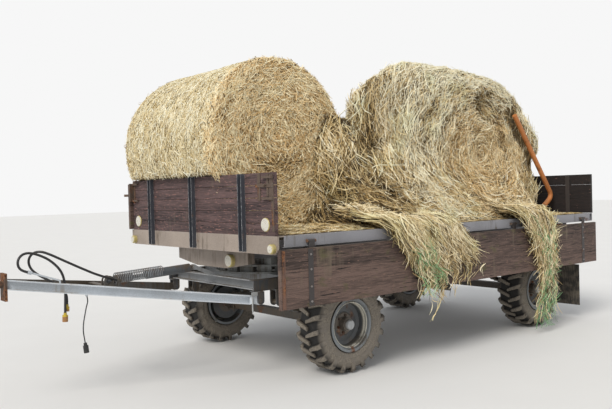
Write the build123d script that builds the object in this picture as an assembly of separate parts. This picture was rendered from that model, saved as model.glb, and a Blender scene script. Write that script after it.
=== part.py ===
from build123d import *
import math
import os

os.makedirs("parts", exist_ok=True)

# Two-axle farm wagon with wooden drop sides, loaded with round hay bales.
# Millimetres. X is positive to the wagon's left, Y to its rear, Z up from the ground.
# The model is laid out from the front edge of the deck and saved about its middle.

# Driving dimensions: deck and frame
deck_width = 2200
deck_length = 4200
deck_height = 1100
floor_thickness = 28
floor_plank_count = 10
plank_gap = 3
steel_web = 6
side_rail_height = 80
side_rail_flange = 45
front_beam_height = 130
front_beam_flange = 50
front_beam_corner_cut = 42
end_lamp_inset = 60
end_lamp_radius = 35
end_lamp_drop = 88
reflector_inset = 140
reflector_radius = 49
reflector_rise = 78
middle_lamp_x = 296
middle_lamp_radius = 50
middle_lamp_drop = 221
rear_lamp_inset = 290
rear_lamp_width = 160
rear_lamp_height = 75
main_rail_spacing = 760
main_rail_flange = 60
cross_member_count = 6
cross_member_flange = 40
headstock_half_width = 520
headstock_belly_half_width = 225
headstock_end_rise = 46
headstock_gap = 63
headstock_depth = 60
headstock_wall = 8
headstock_front_y = 150

# Driving dimensions: boards round the deck
headboard_height = 442
headboard_plank_count = 5
headboard_thickness = 28
stake_width = 50
stake_depth = 35
stake_web = 5
stake_spacing = 693
stake_foot_drop = 120
side_board_height = 408
side_board_thickness = 32
side_board_narrow_plank = 108
side_board_front_overhang = 30
tailboard_height = 408
board_clearance = 6
hinge_count = 4
first_hinge_y = 280
tail_hinge_count = 3
tail_hinge_inset = 260
hinge_axis_out = 14
hinge_axis_drop = 44
board_foot_gap = 4
hinge_pin_radius = 6
hinge_barrel_radius = 11
hinge_barrel_width = 60
hinge_ear_thickness = 8
strap_width = 50
strap_thickness = 6
cleat_width = 45
cleat_thickness = 4
pin_clearance = 0.5
side_clearance = 1

# Driving dimensions: wheels, axles and springs
wheelbase = 2580
front_axle_y = 780
track = 1720
tyre_radius = 370
tyre_width = 265
rim_radius = 192
rim_flange_height = 16
rim_width = 221
rim_thickness = 8
hub_radius = 52
hub_cap_reach = 115
hub_cap_radius = 36
stub_radius = 27
lug_count = 14
lug_width = 32
lug_depth = 32
lug_slant = 9
rim_disc_out = 20
rim_well_drop = 24
hub_flange_radius = 80
brake_drum_radius = 150
axle_beam_size = 63
axle_beam_half_length = 745
spring_spacing = 1225
spring_half_span = 430
spring_leaf_count = 6
spring_leaf_thickness = 8
spring_width = 60
spring_camber = 105
spring_pad_height = 14
spring_eye_radius = 19
spring_pin_radius = 10
hanger_plate = 10
spring_hanger_height = 97.5
spring_clamp_radius = 7
spring_clamp_plate = 12

# Driving dimensions: turntable and bogie
ring_outer_radius = 500
ring_inner_radius = 415
ring_thickness = 15
race_gap = 45
race_block_count = 20
race_block_length = 118
race_block_width = 40
race_clearance = 0.5
kingpin_radius = 25
carrier_spacing = 600
carrier_height = 60
bogie_rail_height = 85
bogie_rail_flange = 55
hanger_top_plate = 8
bogie_half_width = 640
bogie_front_y = 110
bogie_rear_y = 1262
bogie_front_beam_y = 200
bogie_strip_width = 200
bogie_strip_thickness = 12

# Driving dimensions: drawbar and spring strut
drawbar_pivot_y = 150
drawbar_pivot_drop = 66
drawbar_pivot_spacing = 1260
drawbar_pin_radius = 12.5
drawbar_eye_radius = 32
drawbar_eye_width = 40
drawbar_neck = 56
drawbar_leg_height = 65
drawbar_leg_flange = 42
drawbar_nose_y = -1470
drawbar_nose_height = 835
drawbar_nose_spacing = 96
bracket_ear_thickness = 12
nose_plate_height = 186
nose_plate_width = 104
nose_plate_thickness = 16
tow_eye_bore_radius = 20
tow_eye_ring_radius = 50
tow_eye_thickness = 32
tow_eye_reach = 140
cross_tie_y = -760
strut_top_y = -20
strut_top_rise = 73
strut_ear_radius = 19
strut_foot_y = -745
strut_foot_rise = 56
strut_tube_radius = 34
strut_rod_radius = 13
strut_spring_radius = 32
strut_tube_length = 420
strut_pin_radius = 9
strut_play = 18
strut_slide_gap = 0.3
strut_lug_radius = 37

# Driving dimensions: mud flaps
flap_gap = 330
flap_width = 320
flap_thickness = 6
flap_ground_gap = 130
flap_top = 560
flap_arm_width = 40

# Driving dimensions: hay
front_bale_far_gap = 62
front_bale_near_x = 400
front_bale_half_width = 690
front_bale_half_height = 706
front_bale_sag = 12
front_bale_edge = 60
front_bale_y = 590
heap_near_x = 660
heap_far_gap = 212
heap_front_y = 1165
heap_foot_y = 1400
heap_rear_gap = 52
heap_height = 1500
heap_shoulder = 260
heap_run_back = 0.87
soft_gap = 0.4

# Driving dimensions: load bar, places measured back from the heap's rear and up from the deck
load_bar_radius = 25
load_bar_bend = 60
load_bar_top_back = 683
load_bar_top_rise = 1039
load_bar_elbow_back = 5
load_bar_elbow_rise = 188
load_bar_foot_back = 165
load_bar_foot_rise = 88

# Driving dimensions: air hoses and lighting cable
hose_diameter = 17
cable_diameter = 8
hose_pipe_radius = 6
union_radius = 13
ferrule_radius = 11
ferrule_length = 16
long_coupling_radius = 17
long_coupling_length = 32
short_coupling_radius = 19
short_coupling_length = 46
gland_radius = 9
plug_neck_radius = 12
plug_radius = 18
plug_length = 50

# Shape of the hay heap from the side, as shares of its length and height
heap_shape = [
    (0, 0.733),
    (0.08, 0.853),
    (0.188, 0.96),
    (0.377, 1),
    (0.509, 0.987),
    (0.614, 0.96),
    (0.729, 0.893),
    (0.807, 0.787),
    (0.888, 0.613),
    (0.953, 0.453),
    (1, 0.25),
]

# Routes of the hoses and the cable over the drawbar, as (x, y, z)
long_hose_route = [
    (120, -728, 799),
    (122, -850, 838),
    (118, -985, 905),
    (120, -1110, 970),
    (112, -1205, 1022),
    (84, -1262, 1046),
    (34, -1300, 1030),
    (-10, -1312, 978),
    (-24, -1290, 918),
    (0, -1248, 876),
    (40, -1205, 845),
    (66, -1160, 818),
    (84, -1117, 780),
    (91, -1092, 736),
    (92, -1087, 700),
    (92, -1089, 664),
]
short_hose_route = [
    (141, -1366, 916),
    (142, -1404, 928),
    (142, -1428, 961),
    (139, -1426, 1001),
    (131, -1400, 1031),
    (119, -1362, 1042),
    (106, -1320, 1036),
    (96, -1270, 1019),
    (104, -1216, 990),
    (115, -1172, 950),
    (121, -1136, 905),
    (122, -1116, 850),
    (121, -1109, 790),
    (120, -1109, 730),
    (120, -1112, 670),
    (120, -1114, 612),
]
cable_route = [
    (214, -995, 722),
    (216, -988, 690),
    (213, -1000, 652),
    (216, -1014, 596),
    (214, -1026, 536),
    (217, -1030, 478),
    (214, -1021, 430),
    (215, -1018, 402),
]

# Heights and places that follow from the sizes above
axle_height = tyre_radius
front_y = front_axle_y
rear_y = front_axle_y + wheelbase
half_width = deck_width / 2
floor_bottom = deck_height - floor_thickness
side_rail_bottom = deck_height - side_rail_height
cross_bottom = side_rail_bottom + steel_web
cross_height = floor_bottom - cross_bottom
pack_height = spring_leaf_count * spring_leaf_thickness
pack_bottom = axle_height + axle_beam_size / 2 + spring_pad_height
main_leaf_top = pack_bottom + pack_height
spring_eye_z = main_leaf_top + spring_camber
bogie_bottom = spring_eye_z + spring_hanger_height
bogie_top = bogie_bottom + bogie_rail_height
lower_ring_top = bogie_top + ring_thickness
race_top = lower_ring_top + race_gap
carrier_bottom = race_top + ring_thickness
main_rail_bottom = carrier_bottom + carrier_height
main_rail_top = cross_bottom
headstock_bottom = bogie_top + headstock_gap
drawbar_pivot_height = bogie_bottom - drawbar_pivot_drop
strut_top_height = bogie_top + strut_top_rise
hinge_z = deck_height - hinge_axis_drop
hinge_x = half_width + hinge_axis_out
board_bottom = deck_height + board_foot_gap
board_outer = half_width + board_foot_gap
board_inner = board_outer - side_board_thickness
tail_outer_y = deck_length + board_foot_gap
tail_inner_y = tail_outer_y - side_board_thickness
tail_hinge_y = deck_length + hinge_axis_out
side_board_front = -side_board_front_overhang
side_board_rear = tail_inner_y - board_clearance
tow_eye_y = drawbar_nose_y - nose_plate_thickness - tow_eye_reach
nose_y = tow_eye_y - tow_eye_ring_radius
tail_y = tail_hinge_y + hinge_barrel_radius
middle_y = (nose_y + tail_y) / 2
hinge_pitch = (deck_length - side_board_front_overhang - 200 - first_hinge_y) / (hinge_count - 1)
hinge_places = [first_hinge_y + i * hinge_pitch for i in range(hinge_count)]


def save(node, *solids):
    """Write one node with its solids, moved so that the wagon stands about its middle."""
    moved = [solid.moved(Location((0, -middle_y, 0))) for solid in solids]
    shape = moved[0] if len(moved) == 1 else Compound(children=moved)
    export_step(shape, f"parts/{node}.step")


def block(x, y, z):
    """Box between the two values given for each axis."""
    size = [high - low for low, high in (x, y, z)]
    middle = [(low + high) / 2 for low, high in (x, y, z)]
    return Location(middle) * Box(*size)


def rod_x(radius, x, y, z):
    """Round bar along X between two places."""
    return Location(((x[0] + x[1]) / 2, y, z), (0, 90, 0)) * Cylinder(radius, x[1] - x[0])


def rod_y(radius, x, y, z):
    """Round bar along Y between two places."""
    return Location((x, (y[0] + y[1]) / 2, z), (90, 0, 0)) * Cylinder(radius, y[1] - y[0])


def rod_z(radius, x, y, z):
    """Round bar along Z between two heights."""
    return Location((x, y, (z[0] + z[1]) / 2)) * Cylinder(radius, z[1] - z[0])


def channel_x(x, web_y, z, flange, web=steel_web):
    """Channel along X, its web at web_y, with flanges that reach by flange along Y."""
    way = 1 if flange > 0 else -1
    body = block(x, sorted((web_y, web_y + way * web)), z)
    body += block(x, sorted((web_y, web_y + flange)), (z[0], z[0] + web))
    body += block(x, sorted((web_y, web_y + flange)), (z[1] - web, z[1]))
    return body


def channel_y(web_x, y, z, flange, web=steel_web):
    """Channel along Y, its web at web_x, with flanges that reach by flange along X."""
    way = 1 if flange > 0 else -1
    body = block(sorted((web_x, web_x + way * web)), y, z)
    body += block(sorted((web_x, web_x + flange)), y, (z[0], z[0] + web))
    body += block(sorted((web_x, web_x + flange)), y, (z[1] - web, z[1]))
    return body


# Longitudinal rails: two main channels under the deck and the two edge rails
main_web_x = main_rail_spacing / 2 + main_rail_flange / 2
main_rail_front = headstock_front_y + headstock_depth
rails = []
for side in (1, -1):
    rails.append(
        channel_y(
            side * main_web_x,
            (main_rail_front, deck_length - front_beam_flange),
            (main_rail_bottom, main_rail_top),
            -side * main_rail_flange,
        )
    )
    rails.append(
        channel_y(
            side * half_width,
            (front_beam_flange, deck_length - front_beam_flange),
            (side_rail_bottom, deck_height),
            -side * side_rail_flange,
        )
    )
save("frame_rails", *rails)

# Cross members on the main rails, and the rear beam
cross_half = half_width - steel_web
cross_pitch = (deck_length - 2 * headstock_front_y - 2 * cross_member_flange) / (cross_member_count - 1)
members = []
for i in range(cross_member_count):
    web_y = headstock_front_y + i * cross_pitch
    members.append(
        channel_x((-cross_half, cross_half), web_y, (cross_bottom, floor_bottom), cross_member_flange)
    )
rear_beam = channel_x(
    (-half_width, half_width), deck_length, (side_rail_bottom, deck_height), -front_beam_flange
)
members.append(rear_beam)
save("cross_members", *members)

# Front beam with cut lower corners, and the tapered headstock behind it
front_beam = channel_x(
    (-half_width, half_width), 0, (deck_height - front_beam_height, deck_height), front_beam_flange
)
for side in (1, -1):
    corner = Location((side * half_width, front_beam_flange / 2, deck_height - front_beam_height))
    cutter = Box(front_beam_corner_cut * math.sqrt(2), 3 * front_beam_flange, front_beam_corner_cut * math.sqrt(2))
    front_beam -= corner * Rotation(0, 45, 0) * cutter
headstock_outline = Polyline(
    (-headstock_half_width, main_rail_top),
    (-headstock_half_width, headstock_bottom + headstock_end_rise),
    (-headstock_belly_half_width, headstock_bottom),
    (headstock_belly_half_width, headstock_bottom),
    (headstock_half_width, headstock_bottom + headstock_end_rise),
    (headstock_half_width, main_rail_top),
    close=True,
)
headstock_face = make_face(headstock_outline)
headstock_hollow = offset(headstock_face, -headstock_wall, kind=Kind.INTERSECTION)
headstock = extrude(Plane.XZ * headstock_face, -headstock_depth)
headstock -= extrude(Plane.XZ * headstock_hollow, -headstock_depth).moved(Location((0, headstock_wall, 0)))
headstock = headstock.moved(Location((0, headstock_front_y, 0)))
save("front_beams", front_beam, headstock)

# Deck floor of planks laid lengthwise between the edge rails
floor_half = half_width - side_rail_flange - plank_gap
plank_pitch = (2 * floor_half + plank_gap) / floor_plank_count
planks = []
for i in range(floor_plank_count):
    low = -floor_half + i * plank_pitch
    planks.append(
        block(
            (low, low + plank_pitch - plank_gap),
            (front_beam_flange + plank_gap, deck_length - front_beam_flange - plank_gap),
            (floor_bottom, deck_height),
        )
    )
save("deck_floor", *planks)

# Fixed headboard: five planks on three channel stakes
headboard_half = board_inner - board_clearance
board_pitch = (headboard_height + plank_gap) / headboard_plank_count
headboard = []
for i in range(headboard_plank_count):
    low = deck_height + i * board_pitch
    headboard.append(
        block((-headboard_half, headboard_half), (0, headboard_thickness), (low, low + board_pitch - plank_gap))
    )
save("headboard_planks", *headboard)

stakes = []
for i in (-1, 0, 1):
    middle = i * stake_spacing
    height = (deck_height - stake_foot_drop, deck_height + headboard_height)
    stake = block((middle - stake_width / 2, middle + stake_width / 2), (-stake_web, 0), height)
    for side in (1, -1):
        edge = sorted((middle + side * stake_width / 2, middle + side * (stake_width / 2 - stake_web)))
        stake += block(edge, (-stake_depth, 0), height)
    stakes.append(stake)
save("headboard_stakes", *stakes)

# Corner latches on the headboard, the far one with a handle over the closed side board
latch_y = -side_board_front_overhang - board_clearance
latch_low = deck_height + 262
latch_high = deck_height + 410
latch_strap_x = headboard_half - 50
board_reach = 2 * hinge_x - board_inner + cleat_thickness
latches = []
for side in (1, -1):
    latch = block(
        sorted((side * latch_strap_x, side * (latch_strap_x + 40))),
        (-strap_thickness, 0),
        (latch_low - 20, latch_high + 20),
    )
    for z in (latch_low, latch_high):
        reach = headboard_half - 4 if side > 0 else headboard_half - 10
        latch += block(
            sorted((side * (latch_strap_x - 70), side * reach)), (-22, -strap_thickness), (z - 8, z + 8)
        )
    if side < 0:
        latch += block(
            (-headboard_half + 10, -headboard_half + 26), (latch_y - 8, 0), (latch_low - 8, latch_high + 8)
        )
        latch += block(
            (-board_reach, -headboard_half + 10), (latch_y - 8, latch_y), (latch_high - 110, latch_high - 88)
        )
    latches.append(latch)
save("corner_latches", *latches)

# Lamps and reflectors
lamps = []
for side in (1, -1):
    end_lamp = rod_y(end_lamp_radius, side * (half_width - end_lamp_inset), (-34, 0), deck_height - end_lamp_drop)
    lamps.append(fillet(end_lamp.edges().group_by(Axis.Y)[0], 12))
    reflector = rod_y(
        reflector_radius, side * (half_width - reflector_inset), (-9, 0), deck_height + reflector_rise
    )
    lamps.append(chamfer(reflector.edges().group_by(Axis.Y)[0], 4))
    lamps.append(
        block(
            sorted((side * (half_width - rear_lamp_inset - rear_lamp_width), side * (half_width - rear_lamp_inset))),
            (deck_length - front_beam_flange - 40, deck_length - front_beam_flange),
            (side_rail_bottom - rear_lamp_height, side_rail_bottom),
        )
    )
middle_lamp = rod_y(
    middle_lamp_radius, middle_lamp_x, (headstock_front_y - 36, headstock_front_y), deck_height - middle_lamp_drop
)
lamps.append(fillet(middle_lamp.edges().group_by(Axis.Y)[0], 10))
save("lamps", *lamps)

# Fixed halves of the board hinges: two ears and a pin each
def hinge_ears(turn, place):
    """Ears and pin of one hinge, built on a face at X 0 and turned to its place."""
    inner = hinge_barrel_width / 2 + side_clearance
    outer = inner + hinge_ear_thickness
    ears = rod_y(hinge_pin_radius, hinge_axis_out, (-outer, outer), hinge_z)
    for side in (1, -1):
        span = sorted((side * inner, side * outer))
        ears += block((0, hinge_axis_out), span, (hinge_z - hinge_barrel_radius, hinge_z + hinge_barrel_radius))
        ears += rod_y(hinge_barrel_radius, hinge_axis_out, span, hinge_z)
    return ears.moved(Location(place, (0, 0, turn)))


tail_hinge_pitch = (deck_width - 2 * tail_hinge_inset) / (tail_hinge_count - 1)
tail_hinge_places = [-half_width + tail_hinge_inset + i * tail_hinge_pitch for i in range(tail_hinge_count)]
hinges = []
for y in hinge_places:
    hinges.append(hinge_ears(0, (half_width, y, 0)))
    hinges.append(hinge_ears(180, (-half_width, y, 0)))
for x in tail_hinge_places:
    hinges.append(hinge_ears(90, (x, deck_length, 0)))
save("rail_hinges", *hinges)


# Drop boards: two planks, straps with hinge barrels outside and cleats inside
def board_planks(length, height):
    """Planks of a closed board that faces +X, its outer face at board_outer, along Y from 0."""
    seam = board_bottom + height - side_board_narrow_plank
    low = block((board_inner, board_outer), (0, length), (board_bottom, seam))
    high = block((board_inner, board_outer), (0, length), (seam + plank_gap / 3, board_bottom + height))
    return [low, high]


def board_irons(places, height, cleats):
    """Straps with barrels at the given places and cleats, for a closed board that faces +X."""
    irons = []
    for y in places:
        half = strap_width / 2
        iron = block(
            (board_outer, board_outer + strap_thickness), (y - half, y + half), (hinge_z, board_bottom + height - 20)
        )
        iron += rod_y(
            hinge_barrel_radius, hinge_x, (y - hinge_barrel_width / 2, y + hinge_barrel_width / 2), hinge_z
        )
        iron -= rod_y(
            hinge_pin_radius + pin_clearance, hinge_x, (y - hinge_barrel_width, y + hinge_barrel_width), hinge_z
        )
        irons.append(iron)
    for y in cleats:
        irons.append(
            block(
                (board_inner - cleat_thickness, board_inner),
                (y - cleat_width / 2, y + cleat_width / 2),
                (board_bottom + 6, board_bottom + height - 6),
            )
        )
    return irons


side_length = side_board_rear - side_board_front
side_planks = [piece.moved(Location((0, side_board_front, 0))) for piece in board_planks(side_length, side_board_height)]
side_cleats = [first_hinge_y - 45, hinge_places[-1] - 70]
side_irons = board_irons(hinge_places, side_board_height, side_cleats)
left_axis = Axis((hinge_x, 0, hinge_z), (0, 1, 0))
middle_line = Axis((0, (side_board_front + side_board_rear) / 2, 0), (0, 0, 1))
save("left_board_planks", *[piece.rotate(left_axis, 180) for piece in side_planks])
save("left_board_irons", *[piece.rotate(left_axis, 180) for piece in side_irons])
save("right_board_planks", *[mirror(piece, Plane.YZ) for piece in side_planks])
save("right_board_irons", *[mirror(piece, Plane.YZ) for piece in side_irons])

tail_length = 2 * board_outer
tail_turn = Location((board_outer, deck_length - half_width, 0), (0, 0, 90))
tail_cleats = [tail_hinge_inset + board_foot_gap, tail_length - tail_hinge_inset - board_foot_gap]
tail_strap_places = [x + board_outer for x in tail_hinge_places]
tail_planks = board_planks(tail_length, tailboard_height)
tail_irons = board_irons(tail_strap_places, tailboard_height, tail_cleats)
save("tailboard_planks", *[tail_turn * piece for piece in tail_planks])
save("tailboard_irons", *[tail_turn * piece for piece in tail_irons])

# Turntable: upper ring with race blocks and kingpin, under two carriers
carriers_y = [front_y - carrier_spacing / 2, front_y + carrier_spacing / 2]
upper_ring = rod_z(ring_outer_radius, 0, front_y, (race_top, carrier_bottom))
upper_ring -= rod_z(ring_inner_radius, 0, front_y, (race_top, carrier_bottom))
strip_x = (-bogie_strip_width / 2, bogie_strip_width / 2)
for y in carriers_y:
    upper_ring += block((-main_web_x, main_web_x), (y - 30, y + 30), (carrier_bottom, main_rail_bottom))
upper_ring += block(strip_x, (carriers_y[0], carriers_y[1]), (carrier_bottom, carrier_bottom + bogie_strip_thickness))
upper_ring += rod_z(kingpin_radius, 0, front_y, (bogie_top - 40, carrier_bottom + 1))
ring_middle = (ring_outer_radius + ring_inner_radius) / 2
for i in range(race_block_count):
    turn = 360 / race_block_count * i + 8
    race_block = Location((ring_middle, 0, 0)) * Box(race_block_width, race_block_length, race_gap - race_clearance)
    height = race_top - (race_gap - race_clearance) / 2
    upper_ring += Location((0, front_y, height), (0, 0, turn)) * race_block
save("turntable_upper", upper_ring)

# Turntable: lower ring on the bogie
lower_ring = rod_z(ring_outer_radius, 0, front_y, (bogie_top, lower_ring_top))
lower_ring -= rod_z(ring_inner_radius, 0, front_y, (bogie_top, lower_ring_top))
save("turntable_lower", lower_ring)

# Springs: leaf packs on the axle beam, with eyes on hanger pins
spring_x = spring_spacing / 2
leaf_radius = (spring_half_span**2 + spring_camber**2) / (2 * spring_camber)


def leaf_pack(x, y):
    """Curved leaf pack over an axle at y, the longest leaf on top with an eye at each end."""
    centre_z = main_leaf_top + leaf_radius
    pack = None
    for i in range(spring_leaf_count):
        reach = spring_half_span * (1 - 0.14 * i)
        inner = leaf_radius + i * spring_leaf_thickness
        outer = inner + spring_leaf_thickness
        half = math.degrees(math.asin(reach / leaf_radius))
        band = Circle(outer) - Circle(inner)
        wedge = make_face(
            Polyline(
                (0, 0),
                (-2 * outer * math.sin(math.radians(half)), -2 * outer * math.cos(math.radians(half))),
                (2 * outer * math.sin(math.radians(half)), -2 * outer * math.cos(math.radians(half))),
                close=True,
            )
        )
        leaf = extrude(Plane.YZ * (band & wedge), spring_width / 2, both=True)
        pack = leaf if pack is None else pack + leaf
    pack = pack.moved(Location((x, y, centre_z)))
    for side in (1, -1):
        eye_y = y + side * (spring_half_span + spring_eye_radius / 2)
        span = (x - spring_width / 2, x + spring_width / 2)
        pack += rod_x(spring_eye_radius, span, eye_y, spring_eye_z)
        pack -= rod_x(spring_pin_radius + pin_clearance, (span[0] - 5, span[1] + 5), eye_y, spring_eye_z)
    return pack


def spring_hangers(x, y, top):
    """Ears and pins that carry one pack's eyes under a rail at the given height."""
    hangers = []
    for side in (1, -1):
        eye_y = y + side * (spring_half_span + spring_eye_radius / 2)
        inner = spring_width / 2 + side_clearance
        hanger = rod_x(
            spring_pin_radius, (x - inner - hanger_plate, x + inner + hanger_plate), eye_y, spring_eye_z
        )
        for face in (1, -1):
            plate = sorted((x + face * inner, x + face * (inner + hanger_plate)))
            hanger += block(plate, (eye_y - 32, eye_y + 32), (spring_eye_z, top))
            hanger += rod_x(32, plate, eye_y, spring_eye_z)
        width = inner + hanger_plate
        hanger += block((x - width, x + width), (eye_y - 32, eye_y + 32), (top - hanger_top_plate, top))
        hangers.append(hanger)
    return hangers


def axle_set(y):
    """Axle beam with its stub ends, pads, leaf packs and their clamps, as one solid."""
    half = axle_beam_size / 2
    beam = block(
        (-axle_beam_half_length, axle_beam_half_length), (y - half, y + half), (axle_height - half, axle_height + half)
    )
    for side in (1, -1):
        stub = sorted((side * (axle_beam_half_length - 5), side * (track / 2 + hub_cap_reach - 55)))
        beam += rod_x(stub_radius, stub, y, axle_height)
        pad_x = (side * spring_x - spring_width / 2, side * spring_x + spring_width / 2)
        beam += block(pad_x, (y - 50, y + 50), (axle_height + half, pack_bottom + 2))
        beam += leaf_pack(side * spring_x, y)
        clamp_reach = spring_width / 2 + 2 * spring_clamp_radius + 2
        clamp_x = (side * spring_x - clamp_reach, side * spring_x + clamp_reach)
        clamp_top = main_leaf_top + spring_clamp_plate
        clamp_foot = axle_height - half - spring_clamp_plate
        beam += block(clamp_x, (y - 50, y + 50), (main_leaf_top - 1, clamp_top))
        beam += block(clamp_x, (y - 50, y + 50), (clamp_foot, axle_height - half))
        for row in (1, -1):
            for bolt in (1, -1):
                bolt_x = side * spring_x + row * (spring_width / 2 + spring_clamp_radius + 1)
                bolt_y = y + bolt * (half + spring_clamp_radius + 2)
                beam += rod_z(spring_clamp_radius, bolt_x, bolt_y, (clamp_foot - 18, clamp_top + 18))
    return beam


save("front_axle", axle_set(front_y))
save("rear_axle", axle_set(rear_y))

# Rear subframe: channels over the springs, carried under the main rails
rear_channels = []
for side in (1, -1):
    rear_channel = channel_y(
        side * bogie_half_width,
        (rear_y - spring_half_span - 60, rear_y + spring_half_span + 60),
        (bogie_bottom, bogie_top),
        -side * bogie_rail_flange,
    )
    for hanger in spring_hangers(side * spring_x, rear_y, bogie_bottom):
        rear_channel += hanger
    rear_channels.append(rear_channel)
rear_posts = []
for side in (1, -1):
    web_y = rear_y + side * (spring_half_span - 40)
    rear_posts.append(
        channel_x((-bogie_half_width, bogie_half_width), web_y, (bogie_top, main_rail_bottom), -side * main_rail_flange)
    )
save("rear_subframe", *rear_channels, *rear_posts)

# Bogie rails with spring hangers and the drawbar brackets
pivot_x = drawbar_pivot_spacing / 2
bogie_rails = []
for side in (1, -1):
    bogie_rail = channel_y(
        side * bogie_half_width,
        (bogie_front_y, bogie_rear_y),
        (bogie_bottom, bogie_top),
        -side * bogie_rail_flange,
    )
    for hanger in spring_hangers(side * spring_x, front_y, bogie_bottom):
        bogie_rail += hanger
    inner = drawbar_eye_width / 2 + side_clearance
    outer = inner + bracket_ear_thickness
    bogie_rail += block(
        (side * pivot_x - outer, side * pivot_x + outer),
        (drawbar_pivot_y - 20, drawbar_pivot_y + 40),
        (bogie_bottom - 10, bogie_bottom),
    )
    bogie_rail += rod_x(
        drawbar_pin_radius, (side * pivot_x - outer - 8, side * pivot_x + outer + 8), drawbar_pivot_y, drawbar_pivot_height
    )
    for face in (1, -1):
        ear = sorted((side * pivot_x + face * inner, side * pivot_x + face * outer))
        bogie_rail += block(
            ear, (drawbar_pivot_y - 20, drawbar_pivot_y + 40), (drawbar_pivot_height, bogie_bottom)
        )
        bogie_rail += rod_x(30, ear, drawbar_pivot_y + 10, drawbar_pivot_height)
    bogie_rails.append(bogie_rail)
save("bogie_rails", *bogie_rails)

# Bogie cross beams, kingpin strip and the spring strut's upper bracket
beam_half = bogie_half_width - steel_web
beam_inner = bogie_half_width - bogie_rail_flange
front_cross = channel_x(
    (-beam_half, beam_half), bogie_front_beam_y, (bogie_bottom + steel_web, bogie_top - steel_web), -bogie_rail_flange
)
strut_ear_inner = 18 + side_clearance
for face in (1, -1):
    ear_x = sorted((face * strut_ear_inner, face * (strut_ear_inner + 10)))
    ear_outline = Polyline(
        (bogie_front_beam_y, bogie_top - steel_web),
        (bogie_front_beam_y - bogie_rail_flange, bogie_top - steel_web),
        (strut_top_y - strut_ear_radius, strut_top_height),
        (strut_top_y, strut_top_height + strut_ear_radius),
        close=True,
    )
    ear = extrude(Plane.YZ * make_face(ear_outline), 10)
    front_cross += ear.moved(Location((ear_x[0], 0, 0)))
    front_cross += rod_x(strut_ear_radius, ear_x, strut_top_y, strut_top_height)
front_cross += rod_x(strut_pin_radius, (-strut_ear_inner - 10, strut_ear_inner + 10), strut_top_y, strut_top_height)
cross_beams = [front_cross]
kingpin_frame = None
for y in carriers_y:
    way = 1 if y < front_y else -1
    beam = channel_x(
        (-beam_inner, beam_inner), y - way * 30, (bogie_bottom, bogie_top), way * 60
    )
    kingpin_frame = beam if kingpin_frame is None else kingpin_frame + beam
kingpin_frame += block(strip_x, carriers_y, (bogie_top - bogie_strip_thickness, bogie_top))
kingpin_frame -= rod_z(kingpin_radius + pin_clearance, 0, front_y, (bogie_bottom, bogie_top + 5))
cross_beams.append(kingpin_frame)
save("bogie_beams", *cross_beams)

# Drawbar legs: channels from the pivots to the nose
nose_x = drawbar_nose_spacing / 2


def drawbar_leg(side):
    """One leg of the drawbar, a channel with an eye on the pivot pin."""
    start = Vector(side * pivot_x, drawbar_pivot_y, drawbar_pivot_height)
    end = Vector(side * nose_x, drawbar_nose_y, drawbar_nose_height)
    along = (end - start).normalized()
    plane = Plane(origin=start + along * drawbar_neck, x_dir=Vector(0, 0, 1).cross(along), z_dir=along)
    half_height = drawbar_leg_height / 2
    half_flange = drawbar_leg_flange / 2
    outline = Polyline(
        (half_flange, half_height),
        (-half_flange, half_height),
        (-half_flange, half_height - steel_web),
        (half_flange - steel_web, half_height - steel_web),
        (half_flange - steel_web, -half_height + steel_web),
        (-half_flange, -half_height + steel_web),
        (-half_flange, -half_height),
        (half_flange, -half_height),
        close=True,
    )
    section = make_face(outline)
    if side > 0:
        section = mirror(section, Plane.YZ)
    leg = extrude(plane * section, (end - start).length + 40)
    leg -= block(
        (-deck_width, deck_width), (drawbar_nose_y - 200, drawbar_nose_y), (0, deck_height * 2)
    )
    leg += rod_x(
        drawbar_eye_radius,
        (start.X - drawbar_eye_width / 2, start.X + drawbar_eye_width / 2),
        drawbar_pivot_y,
        drawbar_pivot_height,
    )
    leg += block(
        (start.X - drawbar_eye_width / 2 + 2, start.X + drawbar_eye_width / 2 - 2),
        (drawbar_pivot_y - drawbar_neck - 6, drawbar_pivot_y),
        (drawbar_pivot_height - 20, drawbar_pivot_height + 30),
    )
    leg -= rod_x(
        drawbar_pin_radius + pin_clearance,
        (start.X - drawbar_eye_width, start.X + drawbar_eye_width),
        drawbar_pivot_y,
        drawbar_pivot_height,
    )
    return leg


def leg_place(y):
    """Half spacing and height of the legs' middle line at a place along Y."""
    share = (drawbar_pivot_y - y) / (drawbar_pivot_y - drawbar_nose_y)
    half = pivot_x + (nose_x - pivot_x) * share
    height = drawbar_pivot_height + (drawbar_nose_height - drawbar_pivot_height) * share
    return half, height


def leg_room(side):
    """Straight bar with the outer size of one leg, which trims what meets the leg."""
    start = Vector(side * pivot_x, drawbar_pivot_y, drawbar_pivot_height)
    end = Vector(side * nose_x, drawbar_nose_y, drawbar_nose_height)
    along = (end - start).normalized()
    plane = Plane(origin=start, x_dir=Vector(0, 0, 1).cross(along), z_dir=along)
    return extrude(plane * Rectangle(drawbar_leg_flange, drawbar_leg_height), (end - start).length)


def sleeve(radius, point, way, length):
    """Round piece that starts at a point and runs along a direction."""
    plane = Plane(origin=point, z_dir=way)
    return extrude(plane * Circle(radius), length)


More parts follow.
